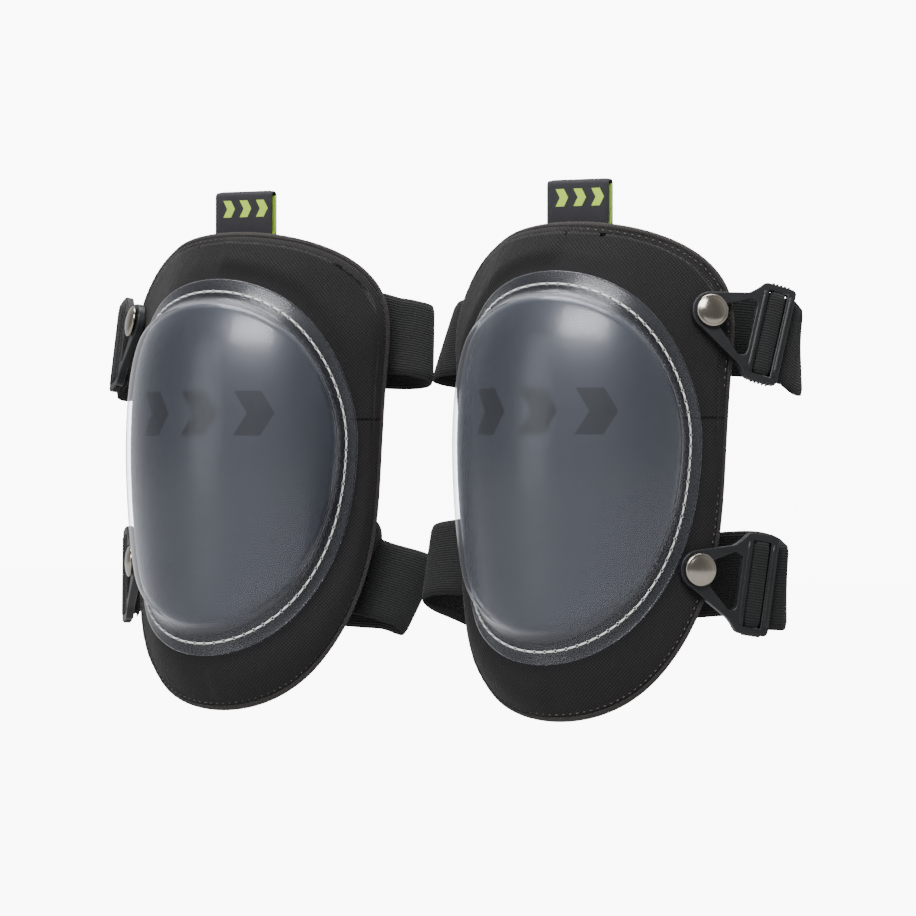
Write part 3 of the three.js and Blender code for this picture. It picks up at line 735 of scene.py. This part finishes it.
def hole_shade_run(outline, inset, out, pitch, radius):
    """A small dark bead of painted shade at each needle hole, half a pitch from the threads."""
    count = round(outline_length(outline) / pitch)
    angles = even_angles(outline, count * 2)[1::2]
    flat = inset_point(outline, angles, 1, inset)
    parts = []
    for place in flat:
        path = surface_point(place[0], place[1], out + np.array([-0.35, -0.1, 0.1, 0.2]))
        thick = radius * np.array([1, 1, 0.8, 0.3])
        parts.append(tube_mesh(path, thick, 8))
    return joined(parts)


def knot_run(outline, inset, out, pitch, radius, thick):
    """A small loop of thread round each needle hole."""
    count = round(outline_length(outline) / pitch)
    angles = even_angles(outline, count * 2)[1::2]
    flat = inset_point(outline, angles, 1, inset)
    turn = np.linspace(0, 2 * pi, 12, endpoint=False)
    parts = []
    for place in flat:
        ring = np.stack([place[0] + radius * np.cos(turn), place[1] + radius * np.sin(turn)], axis=1)
        path = surface_point(ring[:, 0], ring[:, 1], out)
        parts.append(tube_mesh(path, thick, 5, closed=True, up=path_up(ring)))
    return joined(parts)


def make_stitching(prefix, side):
    top = CAP_SEAT + FLANGE_WALL
    points, faces = stitch_run(CAP, FLANGE_WIDTH - 1.2, top + 0.4, 5.6, 3.9, 0.44, 0.5)
    threads = new_piece(f"{prefix}_cap_threads", to_frame(points, side), wound(faces, side),
                        MATERIALS["white_thread"])
    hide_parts(f"{prefix}_cap_stitching")
    # Painted shade: a dark bead in each needle hole.
    points, faces = hole_shade_run(CAP, FLANGE_WIDTH - 1.2, top + 0.1, 5.6, 0.6)
    holes = new_piece(f"{prefix}_cap_needle_holes", to_frame(points, side), wound(faces, side),
                      MATERIALS["needle_hole_shade"])
    points, faces = knot_run(CAP, FLANGE_WIDTH - 1.2, top + 0.25, 5.6, 0.65, 0.10)
    knots = new_piece(f"{prefix}_cap_knots", to_frame(points, side), wound(faces, side), MATERIALS["white_thread"])
    points, faces = stitch_run(PAD, 3.6, 0.15, 3.6, 1.2, 0.24, 0.3)
    edge = new_piece(f"{prefix}_rim_threads", to_frame(points, side), wound(faces, side), MATERIALS["grey_thread"])
    return [threads, holes, knots, edge]


# ---- Cap -------------------------------------------------------------------------------------

def dome_height(share, rise):
    return rise * (1 - 0.55 * share ** 6) - 0.6 * share * share


def dome_foot(start, seat, inset, count=7):
    """The dome's edge rolls down to its seat; the rows run outwards."""
    rows = []
    for t in np.linspace(0, 1, count)[1:]:
        rows.append((DOME_SHARE + (1 - DOME_SHARE) * t, inset * t, seat + (start - seat) * (1 - t) ** 2))
    return rows


def make_cap(prefix, side):
    top = CAP_SEAT + FLANGE_WALL
    shares = np.linspace(0, DOME_SHARE, 30)
    outside = [(s, 0, dome_height(s, CAP_RISE)) for s in shares]
    outside += dome_foot(outside[-1][2], top, FLANGE_WIDTH + 0.4)
    lip = [(1, FLANGE_WIDTH - 1.0, top - 0.1), (1, 4.5, top - 0.15), (1, 1.6, top), (1, 0.9, top + 0.12),
           (1, 0.35, top + 0.05), (1, 0.05, top - 0.35), (1, 0, top - 0.8), (1, 0.1, CAP_SEAT + 0.3),
           (1, 0.5, CAP_SEAT)]
    inside = [(s, 0, dome_height(s, CAP_RISE) - CAP_WALL) for s in shares]
    inside += dome_foot(inside[-1][2], CAP_SEAT, FLANGE_WIDTH + 2.2)
    piece = wrapped_layer(f"{prefix}_dome_cap", side, CAP, outside + lip + inside[::-1], AROUND,
                          MATERIALS["clear_tpu"])
    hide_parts(f"{prefix}_clear_cap")
    return piece


def make_panel(prefix, side):
    outside = [(s, 0, dome_height(s, PANEL_RISE)) for s in np.linspace(0, DOME_SHARE, 30)]
    outside += dome_foot(outside[-1][2], CAP_SEAT + 0.3, FLANGE_WIDTH + 2.8)
    inside = [(s, 0, CAP_SEAT - 0.2) for s in (0.84, 0.6, 0.3, 0)]
    section = outside + [(1, FLANGE_WIDTH + 3.0, CAP_SEAT - 0.2)] + inside
    piece = wrapped_layer(f"{prefix}_printed_panel", side, CAP, section, AROUND, MATERIALS["grey_panel"])
    mirror_print(piece, side)
    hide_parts(f"{prefix}_cap_panel")
    return piece


def mirror_print(piece, side):
    """The print reads the same way round on both pads."""
    for corner in piece.data.uv_layers["flat"].data:
        corner.uv.x *= side


# ---- Pull tab --------------------------------------------------------------------------------

def make_tab(prefix, side):
    """A ribbon folded over at the top, drawn from its front foot round the fold to its back foot."""
    front, back, layer = TAB_FRONT, TAB_BACK, TAB_LAYER
    mid_front, mid_back = front + layer / 2, back - layer / 2
    bend = (mid_back - mid_front) / 2
    run = [(mid_front, z) for z in np.linspace(TAB_FOOT, TAB_TOP - bend - layer / 2, 16)]
    run += [(mid_front + bend - bend * cos(t), TAB_TOP - bend - layer / 2 + bend * sin(t))
            for t in np.linspace(0, pi, 9)[1:-1]]
    run += [(mid_back, z) for z in np.linspace(TAB_TOP - bend - layer / 2, TAB_FOOT, 16)]
    run = np.array(run)
    travelled = np.r_[0, np.cumsum(np.linalg.norm(np.diff(run, axis=0), axis=1))]
    along = np.gradient(run, axis=0)
    along /= np.linalg.norm(along, axis=1, keepdims=True)
    normal = np.stack([-along[:, 1], along[:, 0]], axis=1)
    widths = np.linspace(-TAB_WIDTH / 2, TAB_WIDTH / 2, 13)
    points, flat = [], []
    for face in (1, -1):
        for i, (y, z) in enumerate(run):
            for x in widths:
                rounding = 0.35 * max(0, abs(x) / (TAB_WIDTH / 2) * 6 - 5)
                off = normal[i] * face * (layer / 2 - rounding)
                points.append((x, y + off[0], z + off[1]))
                flat.append((x * side, travelled[i] - (TAB_TOP - TAB_FOOT) + 8.5))
    rows, columns = len(run), len(widths)
    base = rows * columns
    faces = grid_faces(rows, columns)
    faces += [tuple(base + k for k in reversed(face)) for face in grid_faces(rows, columns)]
    rim = [(i, 0) for i in range(rows)] + [(rows - 1, j) for j in range(1, columns)]
    rim += [(i, columns - 1) for i in range(rows - 2, -1, -1)] + [(0, j) for j in range(columns - 2, 0, -1)]
    ring = [i * columns + j for i, j in rim]
    faces += [(ring[k], ring[(k + 1) % len(ring)], base + ring[(k + 1) % len(ring)], base + ring[k])
              for k in range(len(ring))]
    faces = [tuple(reversed(face)) for face in faces]
    piece = new_piece(f"{prefix}_folded_tab", to_frame(points, side), wound(faces, side),
                      MATERIALS["tab_weave"], np.array(flat) * MM)
    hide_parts(f"{prefix}_pull_tab")
    return piece


def make_tab_lining(prefix, side):
    """The lime inner layer; its edge shows at one side of the fold."""
    depth = TAB_BACK - TAB_FRONT - 2 * TAB_LAYER - 0.6
    y0 = (TAB_FRONT + TAB_BACK) / 2
    low, high = TAB_FOOT + 6, TAB_TOP - TAB_LAYER - 1.4
    rows, columns = 14, 9
    points, flat = [], []
    for face in (-1, 1):
        for z in np.linspace(low, high, rows):
            for x in np.linspace(-TAB_WIDTH / 2, TAB_WIDTH / 2 + 0.6, columns):
                crown = 1 - (abs(x) / (TAB_WIDTH / 2 + 0.6)) ** 6 * 0.5
                points.append((x * side, y0 + face * depth / 2 * crown, z))
                flat.append((x, z))
    base = rows * columns
    faces = [tuple(reversed(f)) for f in grid_faces(rows, columns)]
    faces = [tuple(reversed(f)) for f in faces] + [tuple(base + k for k in reversed(f)) for f in grid_faces(rows, columns)]
    rim = [(i, 0) for i in range(rows)] + [(rows - 1, j) for j in range(1, columns)]
    rim += [(i, columns - 1) for i in range(rows - 2, -1, -1)] + [(0, j) for j in range(columns - 2, 0, -1)]
    ring = [i * columns + j for i, j in rim]
    faces += [(ring[k], base + ring[k], base + ring[(k + 1) % len(ring)], ring[(k + 1) % len(ring)])
              for k in range(len(ring))]
    piece = new_piece(f"{prefix}_lime_lining", to_frame(points, side), wound(faces, side),
                      MATERIALS["lime_weave"], np.array(flat) * MM)
    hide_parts(f"{prefix}_tab_lining")
    return piece


# ---- Studs -----------------------------------------------------------------------------------

def stud_frame(level, side, tilt=0.0):
    """The CAD's frame at a stud, in the model's frame and in metres."""
    across, height, _ = STUDS[level]
    step = 5
    place = surface_point(across, height, 0)
    along = surface_point(across + step, height, 0) - place
    along /= np.linalg.norm(along)
    rise = surface_point(across, height + step, 0) - surface_point(across, height - step, 0)
    out = np.cross(along, rise)
    out /= np.linalg.norm(out)
    up = np.cross(out, along)
    matrix = Matrix.Identity(4)
    for column, axis in enumerate((along, up, out)):
        for row in range(3):
            matrix[row][column] = axis[row]
    for row in range(3):
        matrix[row][3] = place[row]
    matrix = matrix @ Matrix.Rotation(-radians(tilt), 4, "Z")
    shift = Matrix.Translation((side * PAD_SPACING / 2, 0, -KNEE_HEIGHT))
    return Matrix.Scale(MM, 4) @ shift @ Matrix.Diagonal((side, 1, 1, 1)) @ matrix


def placed(points, matrix):
    return [matrix @ Vector(p) for p in points]


def make_stud(prefix, level, side):
    """A pressed cap: a flat rim bead, a shoulder and a faintly domed top."""
    r, base = STUD_HEAD_RADIUS, STUD_STAND + 0.3
    section = [(0.01, base), (r - 1.2, base), (r - 0.4, base + 0.05), (r - 0.05, base + 0.4), (r, base + 0.8),
               (r - 0.15, base + 1.25), (r - 0.55, base + 1.6), (r - 0.95, base + 1.72), (r - 1.2, base + 1.75),
               (r - 1.7, base + 2.0), (r - 2.8, base + 2.35), (r - 4.4, base + 2.62), (2.0, base + 2.75),
               (0.01, base + 2.8)]
    sides = 64
    points = [(x * cos(t), x * sin(t), z) for x, z in section for t in np.linspace(0, 2 * pi, sides, endpoint=False)]
    faces = grid_faces(len(section), sides, closed_columns=True)
    faces += [tuple(reversed(range(sides))), tuple((len(section) - 1) * sides + k for k in range(sides))]
    piece = new_piece(f"{prefix}_{level}_snap_cap", placed(points, stud_frame(level, side)), wound(faces, side),
                      MATERIALS["stud_metal"])
    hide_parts(f"{prefix}_{level}_stud_head")
    return piece


# ---- Clips -----------------------------------------------------------------------------------

def arc(cx, cy, r, start, end, count):
    return [(cx + r * cos(t), cy + r * sin(t)) for t in np.linspace(start, end, count)]


def curve_by(p0, p1, p2, count=5):
    """Points on a quadratic curve, without its first."""
    ts = np.linspace(0, 1, count)[1:]
    return [tuple((1 - t) ** 2 * np.array(p0) + 2 * t * (1 - t) * np.array(p1) + t * t * np.array(p2)) for t in ts]


def clip_outline():
    y, h, end = -CLIP_DROP, CLIP_HALF_HEIGHT, CLIP_LENGTH
    line = arc(0, 0, CLIP_RING, 0.6 * pi, 1.4 * pi, 24)
    line += curve_by((15, y - 16), (18, y - 18), (21, y - h + 1)) + curve_by((21, y - h + 1), (22, y - h), (24, y - h))
    line += curve_by((end - 3, y - h), (end, y - h), (end, y - h + 3))
    line += curve_by((end, y + h - 3), (end, y + h), (end - 3, y + h))
    line += curve_by((24, y + h), (22, y + h), (21, y + h - 1)) + curve_by((21, y + h - 1), (18, y + 18), (15, y + 16))
    return line


def clip_window():
    y, inner = -CLIP_DROP, SLOT_START - 4.4
    line = arc(0, 0, 4.5, 0.3 * pi, 1.7 * pi, 20)[::-1]
    line = line[::-1]
    line += [(inner - 4, y - 13)] + curve_by((inner - 4, y - 13), (inner, y - 14), (inner, y - 10))
    line += [(inner, y + 10)] + curve_by((inner, y + 10), (inner, y + 14), (inner - 4, y + 13))
    return line


def clip_slot():
    x0, x1 = SLOT_START, SLOT_START + SLOT_WIDTH
    y0, y1 = -CLIP_DROP - SLOT_HALF_LENGTH, -CLIP_DROP + SLOT_HALF_LENGTH
    return [(x0, y0), (x0, y1), (x1, y1), (x1, y0)]


def moulded_plate(name, lines, bevel):
    """A flat plate with rounded edges from its outline and holes, as a mesh in clip coordinates."""
    data = bpy.data.curves.new(name, "CURVE")
    data.dimensions = "2D"
    data.fill_mode = "BOTH"
    for line, shrink in lines:
        spline = data.splines.new("POLY")
        spline.points.add(len(line) - 1)
        for point, (x, y) in zip(spline.points, line):
            point.co = (x, y, 0, 1)
        spline.use_cyclic_u = True
    data.extrude = (CLIP_FRONT - CLIP_BACK) / 2 - bevel
    data.bevel_depth = bevel
    data.bevel_resolution = 3
    data.offset = -bevel
    holder = bpy.data.objects.new(name, data)
    bpy.context.collection.objects.link(holder)
    mesh = bpy.data.meshes.new_from_object(holder)
    points = [(v.co.x, v.co.y, v.co.z + (CLIP_FRONT + CLIP_BACK) / 2) for v in mesh.vertices]
    faces = [tuple(p.vertices) for p in mesh.polygons]
    bpy.data.objects.remove(holder)
    bpy.data.curves.remove(data)
    bpy.data.meshes.remove(mesh)
    return np.array(points), faces


def clip_ribs():
    """Grip ribs across the two short ends."""
    parts = []
    for end in (-1, 1):
        y = -CLIP_DROP + end * (CLIP_HALF_HEIGHT + 0.05)
        for x in np.arange(25.5, 34.5, 1.8):
            path = [(x, y, z) for z in np.linspace(CLIP_BACK + 0.3, CLIP_FRONT - 0.3, 4)]
            parts.append(tube_mesh(path, 0.55, 8, up=(0, 1, 0)))
    return parts


def make_clip(prefix, level, side):
    plate = moulded_plate("plate", [(clip_outline(), 0), (clip_window(), 0), (clip_slot(), 0)], 0.55)
    half = SLOT_HALF_LENGTH + 1.2
    bar = tube_mesh([(SLOT_MIDDLE, y, BAR_HEIGHT) for y in np.linspace(-CLIP_DROP - half, -CLIP_DROP + half, 5)],
                    BAR_RADIUS, 16)
    # A raised rim strengthens the strap end on both sides of its slot.
    rails = []
    for x in (SLOT_START - 1.6, SLOT_START + SLOT_WIDTH + 2.1):
        path = [(x, y, CLIP_FRONT - 0.15) for y in np.linspace(-CLIP_DROP - 19, -CLIP_DROP + 19, 12)]
        rails.append(tube_mesh(path, 1.25, 12, flatten=0.45, up=(0, 0, 1)))
    points, faces = joined([plate, bar] + rails + clip_ribs())
    tilt = STUDS[level][2]
    piece = new_piece(f"{prefix}_{level}_moulded_clip", placed(points, stud_frame(level, side, tilt)),
                      wound(faces, side), MATERIALS["clip_plastic"])
    angle = piece.modifiers.new("soft", "WEIGHTED_NORMAL")
    angle.keep_sharp = True
    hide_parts(f"{prefix}_{level}_clip")
    return piece


# ---- Straps ----------------------------------------------------------------------------------

def smooth_route(points, count):
    """Even steps along a centripetal Catmull-Rom curve through plan points."""
    p = np.array(points, float)
    p = np.vstack([2 * p[0] - p[1], p, 2 * p[-1] - p[-2]])
    knots = np.r_[0, np.cumsum(np.linalg.norm(np.diff(p, axis=0), axis=1) ** 0.5)]
    fine = []
    for i in range(1, len(p) - 2):
        t0, t1, t2, t3 = knots[i - 1:i + 3]
        t = np.linspace(t1, t2, 40, endpoint=i == len(p) - 3)[:, None]
        a1 = (t1 - t) / (t1 - t0) * p[i - 1] + (t - t0) / (t1 - t0) * p[i]
        a2 = (t2 - t) / (t2 - t1) * p[i] + (t - t1) / (t2 - t1) * p[i + 1]
        a3 = (t3 - t) / (t3 - t2) * p[i + 1] + (t - t2) / (t3 - t2) * p[i + 2]
        b1 = (t2 - t) / (t2 - t0) * a1 + (t - t0) / (t2 - t0) * a2
        b2 = (t3 - t) / (t3 - t1) * a2 + (t - t1) / (t3 - t1) * a3
        fine.append((t2 - t) / (t2 - t1) * b1 + (t - t1) / (t2 - t1) * b2)
    fine = np.vstack(fine)
    run = np.r_[0, np.cumsum(np.linalg.norm(np.diff(fine, axis=0), axis=1))]
    even = np.linspace(0, run[-1], count)
    return np.stack([np.interp(even, run, fine[:, k]) for k in range(p.shape[1])], axis=1), even


def band_mesh(spine, width_axis, out_axis, run, half_width, depth, bulge=0.12):
    """A woven band along a spine, with soft edges: points, faces and flat places."""
    columns = 15
    across = np.linspace(-1, 1, columns)
    loop = []
    for face in (1, -1):
        order = across if face > 0 else across[::-1]
        for a in order:
            soft = 1 - np.clip((abs(a) - 0.9) / 0.1, 0, 1) ** 2 * 0.7
            loop.append((a, face * soft * (1 + bulge * (1 - a * a))))
    loop = np.array(loop)
    points = (spine[:, None] + width_axis[:, None] * (loop[None, :, :1] * half_width)
              + out_axis[:, None] * (loop[None, :, 1:] * depth / 2))
    flat = np.stack(np.broadcast_arrays(run[:, None], loop[None, :, 0] * half_width), axis=-1)
    count = len(loop)
    faces = grid_faces(len(spine), count, closed_columns=True)
    faces += [tuple(reversed(range(count))), tuple((len(spine) - 1) * count + k for k in range(count))]
    return points.reshape(-1, 3), faces, flat.reshape(-1, 2)


def strap_spine(level, prefix):
    """A strap's middle line, width and run, from the sewn end to the clip.

    The elastic hangs a little differently in each of the four loops.
    """
    spine, run = smooth_route(STRAP_ROUTE[level], 150)
    reach, sag, lean_out, lean_back, outer_lean = STRAP_HANG[prefix, level]
    share = run / run[-1]
    loop = smooth_step(0.02, 0.10, share) * (1 - smooth_step(0.17, 0.34, share))
    fold = smooth_step(0.04, 0.11, share) * (1 - smooth_step(0.12, 0.22, share))
    end = smooth_step(0.72, 0.84, share)
    spine[:, 0] -= reach * fold
    spine[:, 2] -= sag * loop
    up = np.stack([lean_out * loop + outer_lean * end, lean_back * loop, np.ones(len(run))], axis=1)
    up /= np.linalg.norm(up, axis=1, keepdims=True)
    return spine, up, run


def clip_to_pad(level, points):
    """Points in the tilted clip's coordinates, in pad coordinates."""
    matrix = stud_frame(level, 1, STUDS[level][2])
    offset = np.array([PAD_SPACING / 2, 0, -KNEE_HEIGHT])
    return np.array([np.array(matrix @ Vector(p)) / MM - offset for p in points])


def clip_wrap(level):
    """The stretch at the clip: in under the outer bar, round the middle bar and back."""
    wide = SLOT_WIDTH / 2 - STRAP_THICKNESS / 2 - 0.1
    tall = BAR_RADIUS + 0.25 + STRAP_THICKNESS / 2
    line = [(CLIP_LENGTH + 1.2, 0.1), (CLIP_LENGTH - 1, 0.1), (SLOT_MIDDLE + wide + 0.6, 0.3)]
    for t in np.linspace(0, pi, 15):
        line.append((SLOT_MIDDLE + wide * np.sign(cos(t)) * abs(cos(t)) ** 0.6, BAR_HEIGHT + tall * sin(t) ** 0.7))
    line += [(SLOT_MIDDLE - wide + 0.8, -1.2), (SLOT_MIDDLE + 2, -2.2), (CLIP_LENGTH - 1, -2.3),
             (CLIP_LENGTH + 3, -2.8)]
    plan, _ = smooth_route(line, 60)
    return clip_to_pad(level, [(x, -CLIP_DROP, z) for x, z in plan])


def make_strap(prefix, level, side):
    spine, up, _ = strap_spine(level, prefix)
    wrap = clip_wrap(level)
    matrix = stud_frame(level, 1, STUDS[level][2])
    clip_up = np.array(matrix.col[1][:3]) / MM
    spine = np.vstack([spine[:-3], wrap])
    up = np.vstack([up[:-3], np.broadcast_to(clip_up, wrap.shape)])
    joint = len(up) - len(wrap)
    ease = smooth_step(joint - 7, joint + 2, np.arange(len(up)))[:, None]
    up = up * (1 - ease) + clip_up * ease
    up /= np.linalg.norm(up, axis=1, keepdims=True)
    along = np.gradient(spine, axis=0)
    along /= np.linalg.norm(along, axis=1, keepdims=True)
    out = np.cross(along, up)
    out /= np.linalg.norm(out, axis=1, keepdims=True)
    run = np.r_[0, np.cumsum(np.linalg.norm(np.diff(spine, axis=0), axis=1))]
    points, faces, flat = band_mesh(spine, up, out, run, STRAP_WIDTH / 2 + 0.4, STRAP_THICKNESS)
    piece = new_piece(f"{prefix}_{level}_elastic_band", to_frame(points, side), wound(faces, side),
                      MATERIALS["strap_elastic"], flat * MM)
    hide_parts(f"{prefix}_{level}_strap", f"{prefix}_{level}_strap_end")
    return piece


def make_tail(prefix, level, side):
    """The doubled-back end of the band, with its hook-and-loop face to the strap."""
    spine, up, run = strap_spine(level, prefix)
    first, last = (int(share * len(spine)) for share in TAIL_SPAN)
    spine, up, run = spine[first:last], up[first:last], run[first:last]
    along = np.gradient(spine, axis=0)
    along /= np.linalg.norm(along, axis=1, keepdims=True)
    out = np.cross(along, up)
    out /= np.linalg.norm(out, axis=1, keepdims=True)
    spine = spine - out * (STRAP_THICKNESS + 0.35)
    points, faces, flat = band_mesh(spine, up, out, run, STRAP_WIDTH / 2 - 0.3, STRAP_THICKNESS)
    piece = new_piece(f"{prefix}_{level}_hook_tail", to_frame(points, side), wound(faces, side),
                      MATERIALS["strap_elastic"], flat * MM)
    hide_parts(f"{prefix}_{level}_strap_tail")
    return piece


# ---- Assembly --------------------------------------------------------------------------------


def make_pad(prefix, side):
    body = f"{prefix}_pad"
    pieces = [make_cover(prefix, side), make_liner(prefix, side), make_binding(prefix, side)]
    pieces += [make_panel(prefix, side), make_cap(prefix, side)] + make_stitching(prefix, side)
    pieces += [make_tab(prefix, side), make_tab_lining(prefix, side)]
    for level in LEVELS:
        pieces += [make_stud(prefix, level, side), make_tail(prefix, level, side)]
        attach(make_clip(prefix, level, side), f"{prefix}_{level}_clip")
        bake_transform(make_strap(prefix, level, side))
    for piece in pieces:
        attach(piece, body)


def finish_cad_nodes():
    """Procedural finishes for the CAD pieces that stay."""
    slots = {part["node"]: part["material_slot"] for part in frame["record"]["subparts"]}
    for name, node in frame["nodes"].items():
        obj = node if isinstance(node, bpy.types.Object) else bpy.data.objects.get(name)
        if obj is None or slots.get(name) not in SLOT_MATERIALS:
            continue
        material = MATERIALS[SLOT_MATERIALS[slots[name]]]
        if obj.material_slots:
            for held in obj.material_slots:
                held.material = material
        else:
            obj.data.materials.append(material)


# ---- Studio ----------------------------------------------------------------------------------

def area_light(name, place, aim, size, power):
    data = bpy.data.lights.new(name, "AREA")
    data.shape = "RECTANGLE"
    data.size, data.size_y = size
    data.energy = power
    light = bpy.data.objects.new(name, data)
    light.location = place
    light.rotation_euler = (Vector(aim) - Vector(place)).to_track_quat("-Z", "Y").to_euler()
    bpy.context.collection.objects.link(light)


def make_world():
    """White behind and dimmer in front, with a plain white backdrop."""
    world = bpy.data.worlds.new("studio")
    world.use_nodes = True
    tree = world.node_tree
    tree.nodes.clear()
    link = tree.links.new
    output = tree.nodes.new("ShaderNodeOutputWorld")
    direction = tree.nodes.new("ShaderNodeTexCoord")
    parts = tree.nodes.new("ShaderNodeSeparateXYZ")
    link(direction.outputs["Generated"], parts.inputs[0])
    strength = tree.nodes.new("ShaderNodeMapRange")
    strength.inputs["From Min"].default_value = -0.3
    strength.inputs["From Max"].default_value = 0.7
    strength.inputs["To Min"].default_value = 0.28
    strength.inputs["To Max"].default_value = 0.9
    link(parts.outputs[1], strength.inputs["Value"])
    room = tree.nodes.new("ShaderNodeBackground")
    link(strength.outputs[0], room.inputs["Strength"])
    backdrop = tree.nodes.new("ShaderNodeBackground")
    backdrop.inputs["Strength"].default_value = BACKDROP_LIGHT
    rays = tree.nodes.new("ShaderNodeLightPath")
    mix = tree.nodes.new("ShaderNodeMixShader")
    for background in (room, backdrop):
        background.inputs["Color"].default_value = (1, 1, 1, 1)
    link(rays.outputs["Is Camera Ray"], mix.inputs[0])
    link(room.outputs[0], mix.inputs[1])
    link(backdrop.outputs[0], mix.inputs[2])
    link(mix.outputs[0], output.inputs["Surface"])
    bpy.context.scene.world = world


def make_floor():
    points = [(-3, -3, FLOOR_HEIGHT), (3, -3, FLOOR_HEIGHT), (3, 3, FLOOR_HEIGHT), (-3, 3, FLOOR_HEIGHT)]
    n = Nodes("pale_floor")
    paper = n.add("Emission", Color=rgb(0.92, 0.92, 0.92), Strength=FLOOR_BOUNCE)
    glow = n.add("Emission", Strength=BACKDROP_LIGHT)
    rays = n.add("LightPath")
    seen = n.add("MixShader")
    n.put(seen, 0, n.math("MULTIPLY", rays.outputs["Is Camera Ray"], 0.96))
    n.put(seen, 1, paper)
    n.put(seen, 2, glow)
    new_piece("floor", points, [(0, 1, 2, 3)], n.finish(seen))


BACKDROP_LIGHT = 10.0
FLOOR_BOUNCE = 1.3
FLOOR_HEIGHT = -0.150
LIGHTS = [
    # name, place, size, power
    ("key", (0.55, -1.60, 1.6), (1.5, 1.0), 88),
    ("strip", (-0.70, -1.85, 0.1), (0.8, 1.9), 9),
    ("top", (-0.1, 0.3, 1.8), (1.4, 1.0), 45),
]


def make_studio():
    make_world()
    make_floor()
    for name, place, size, power in LIGHTS:
        area_light(name, place, (0, 0, 0), size, power)


make_camera()
for prefix_name, side_sign in SIDES.items():
    make_pad(prefix_name, side_sign)
finish_cad_nodes()
make_studio()
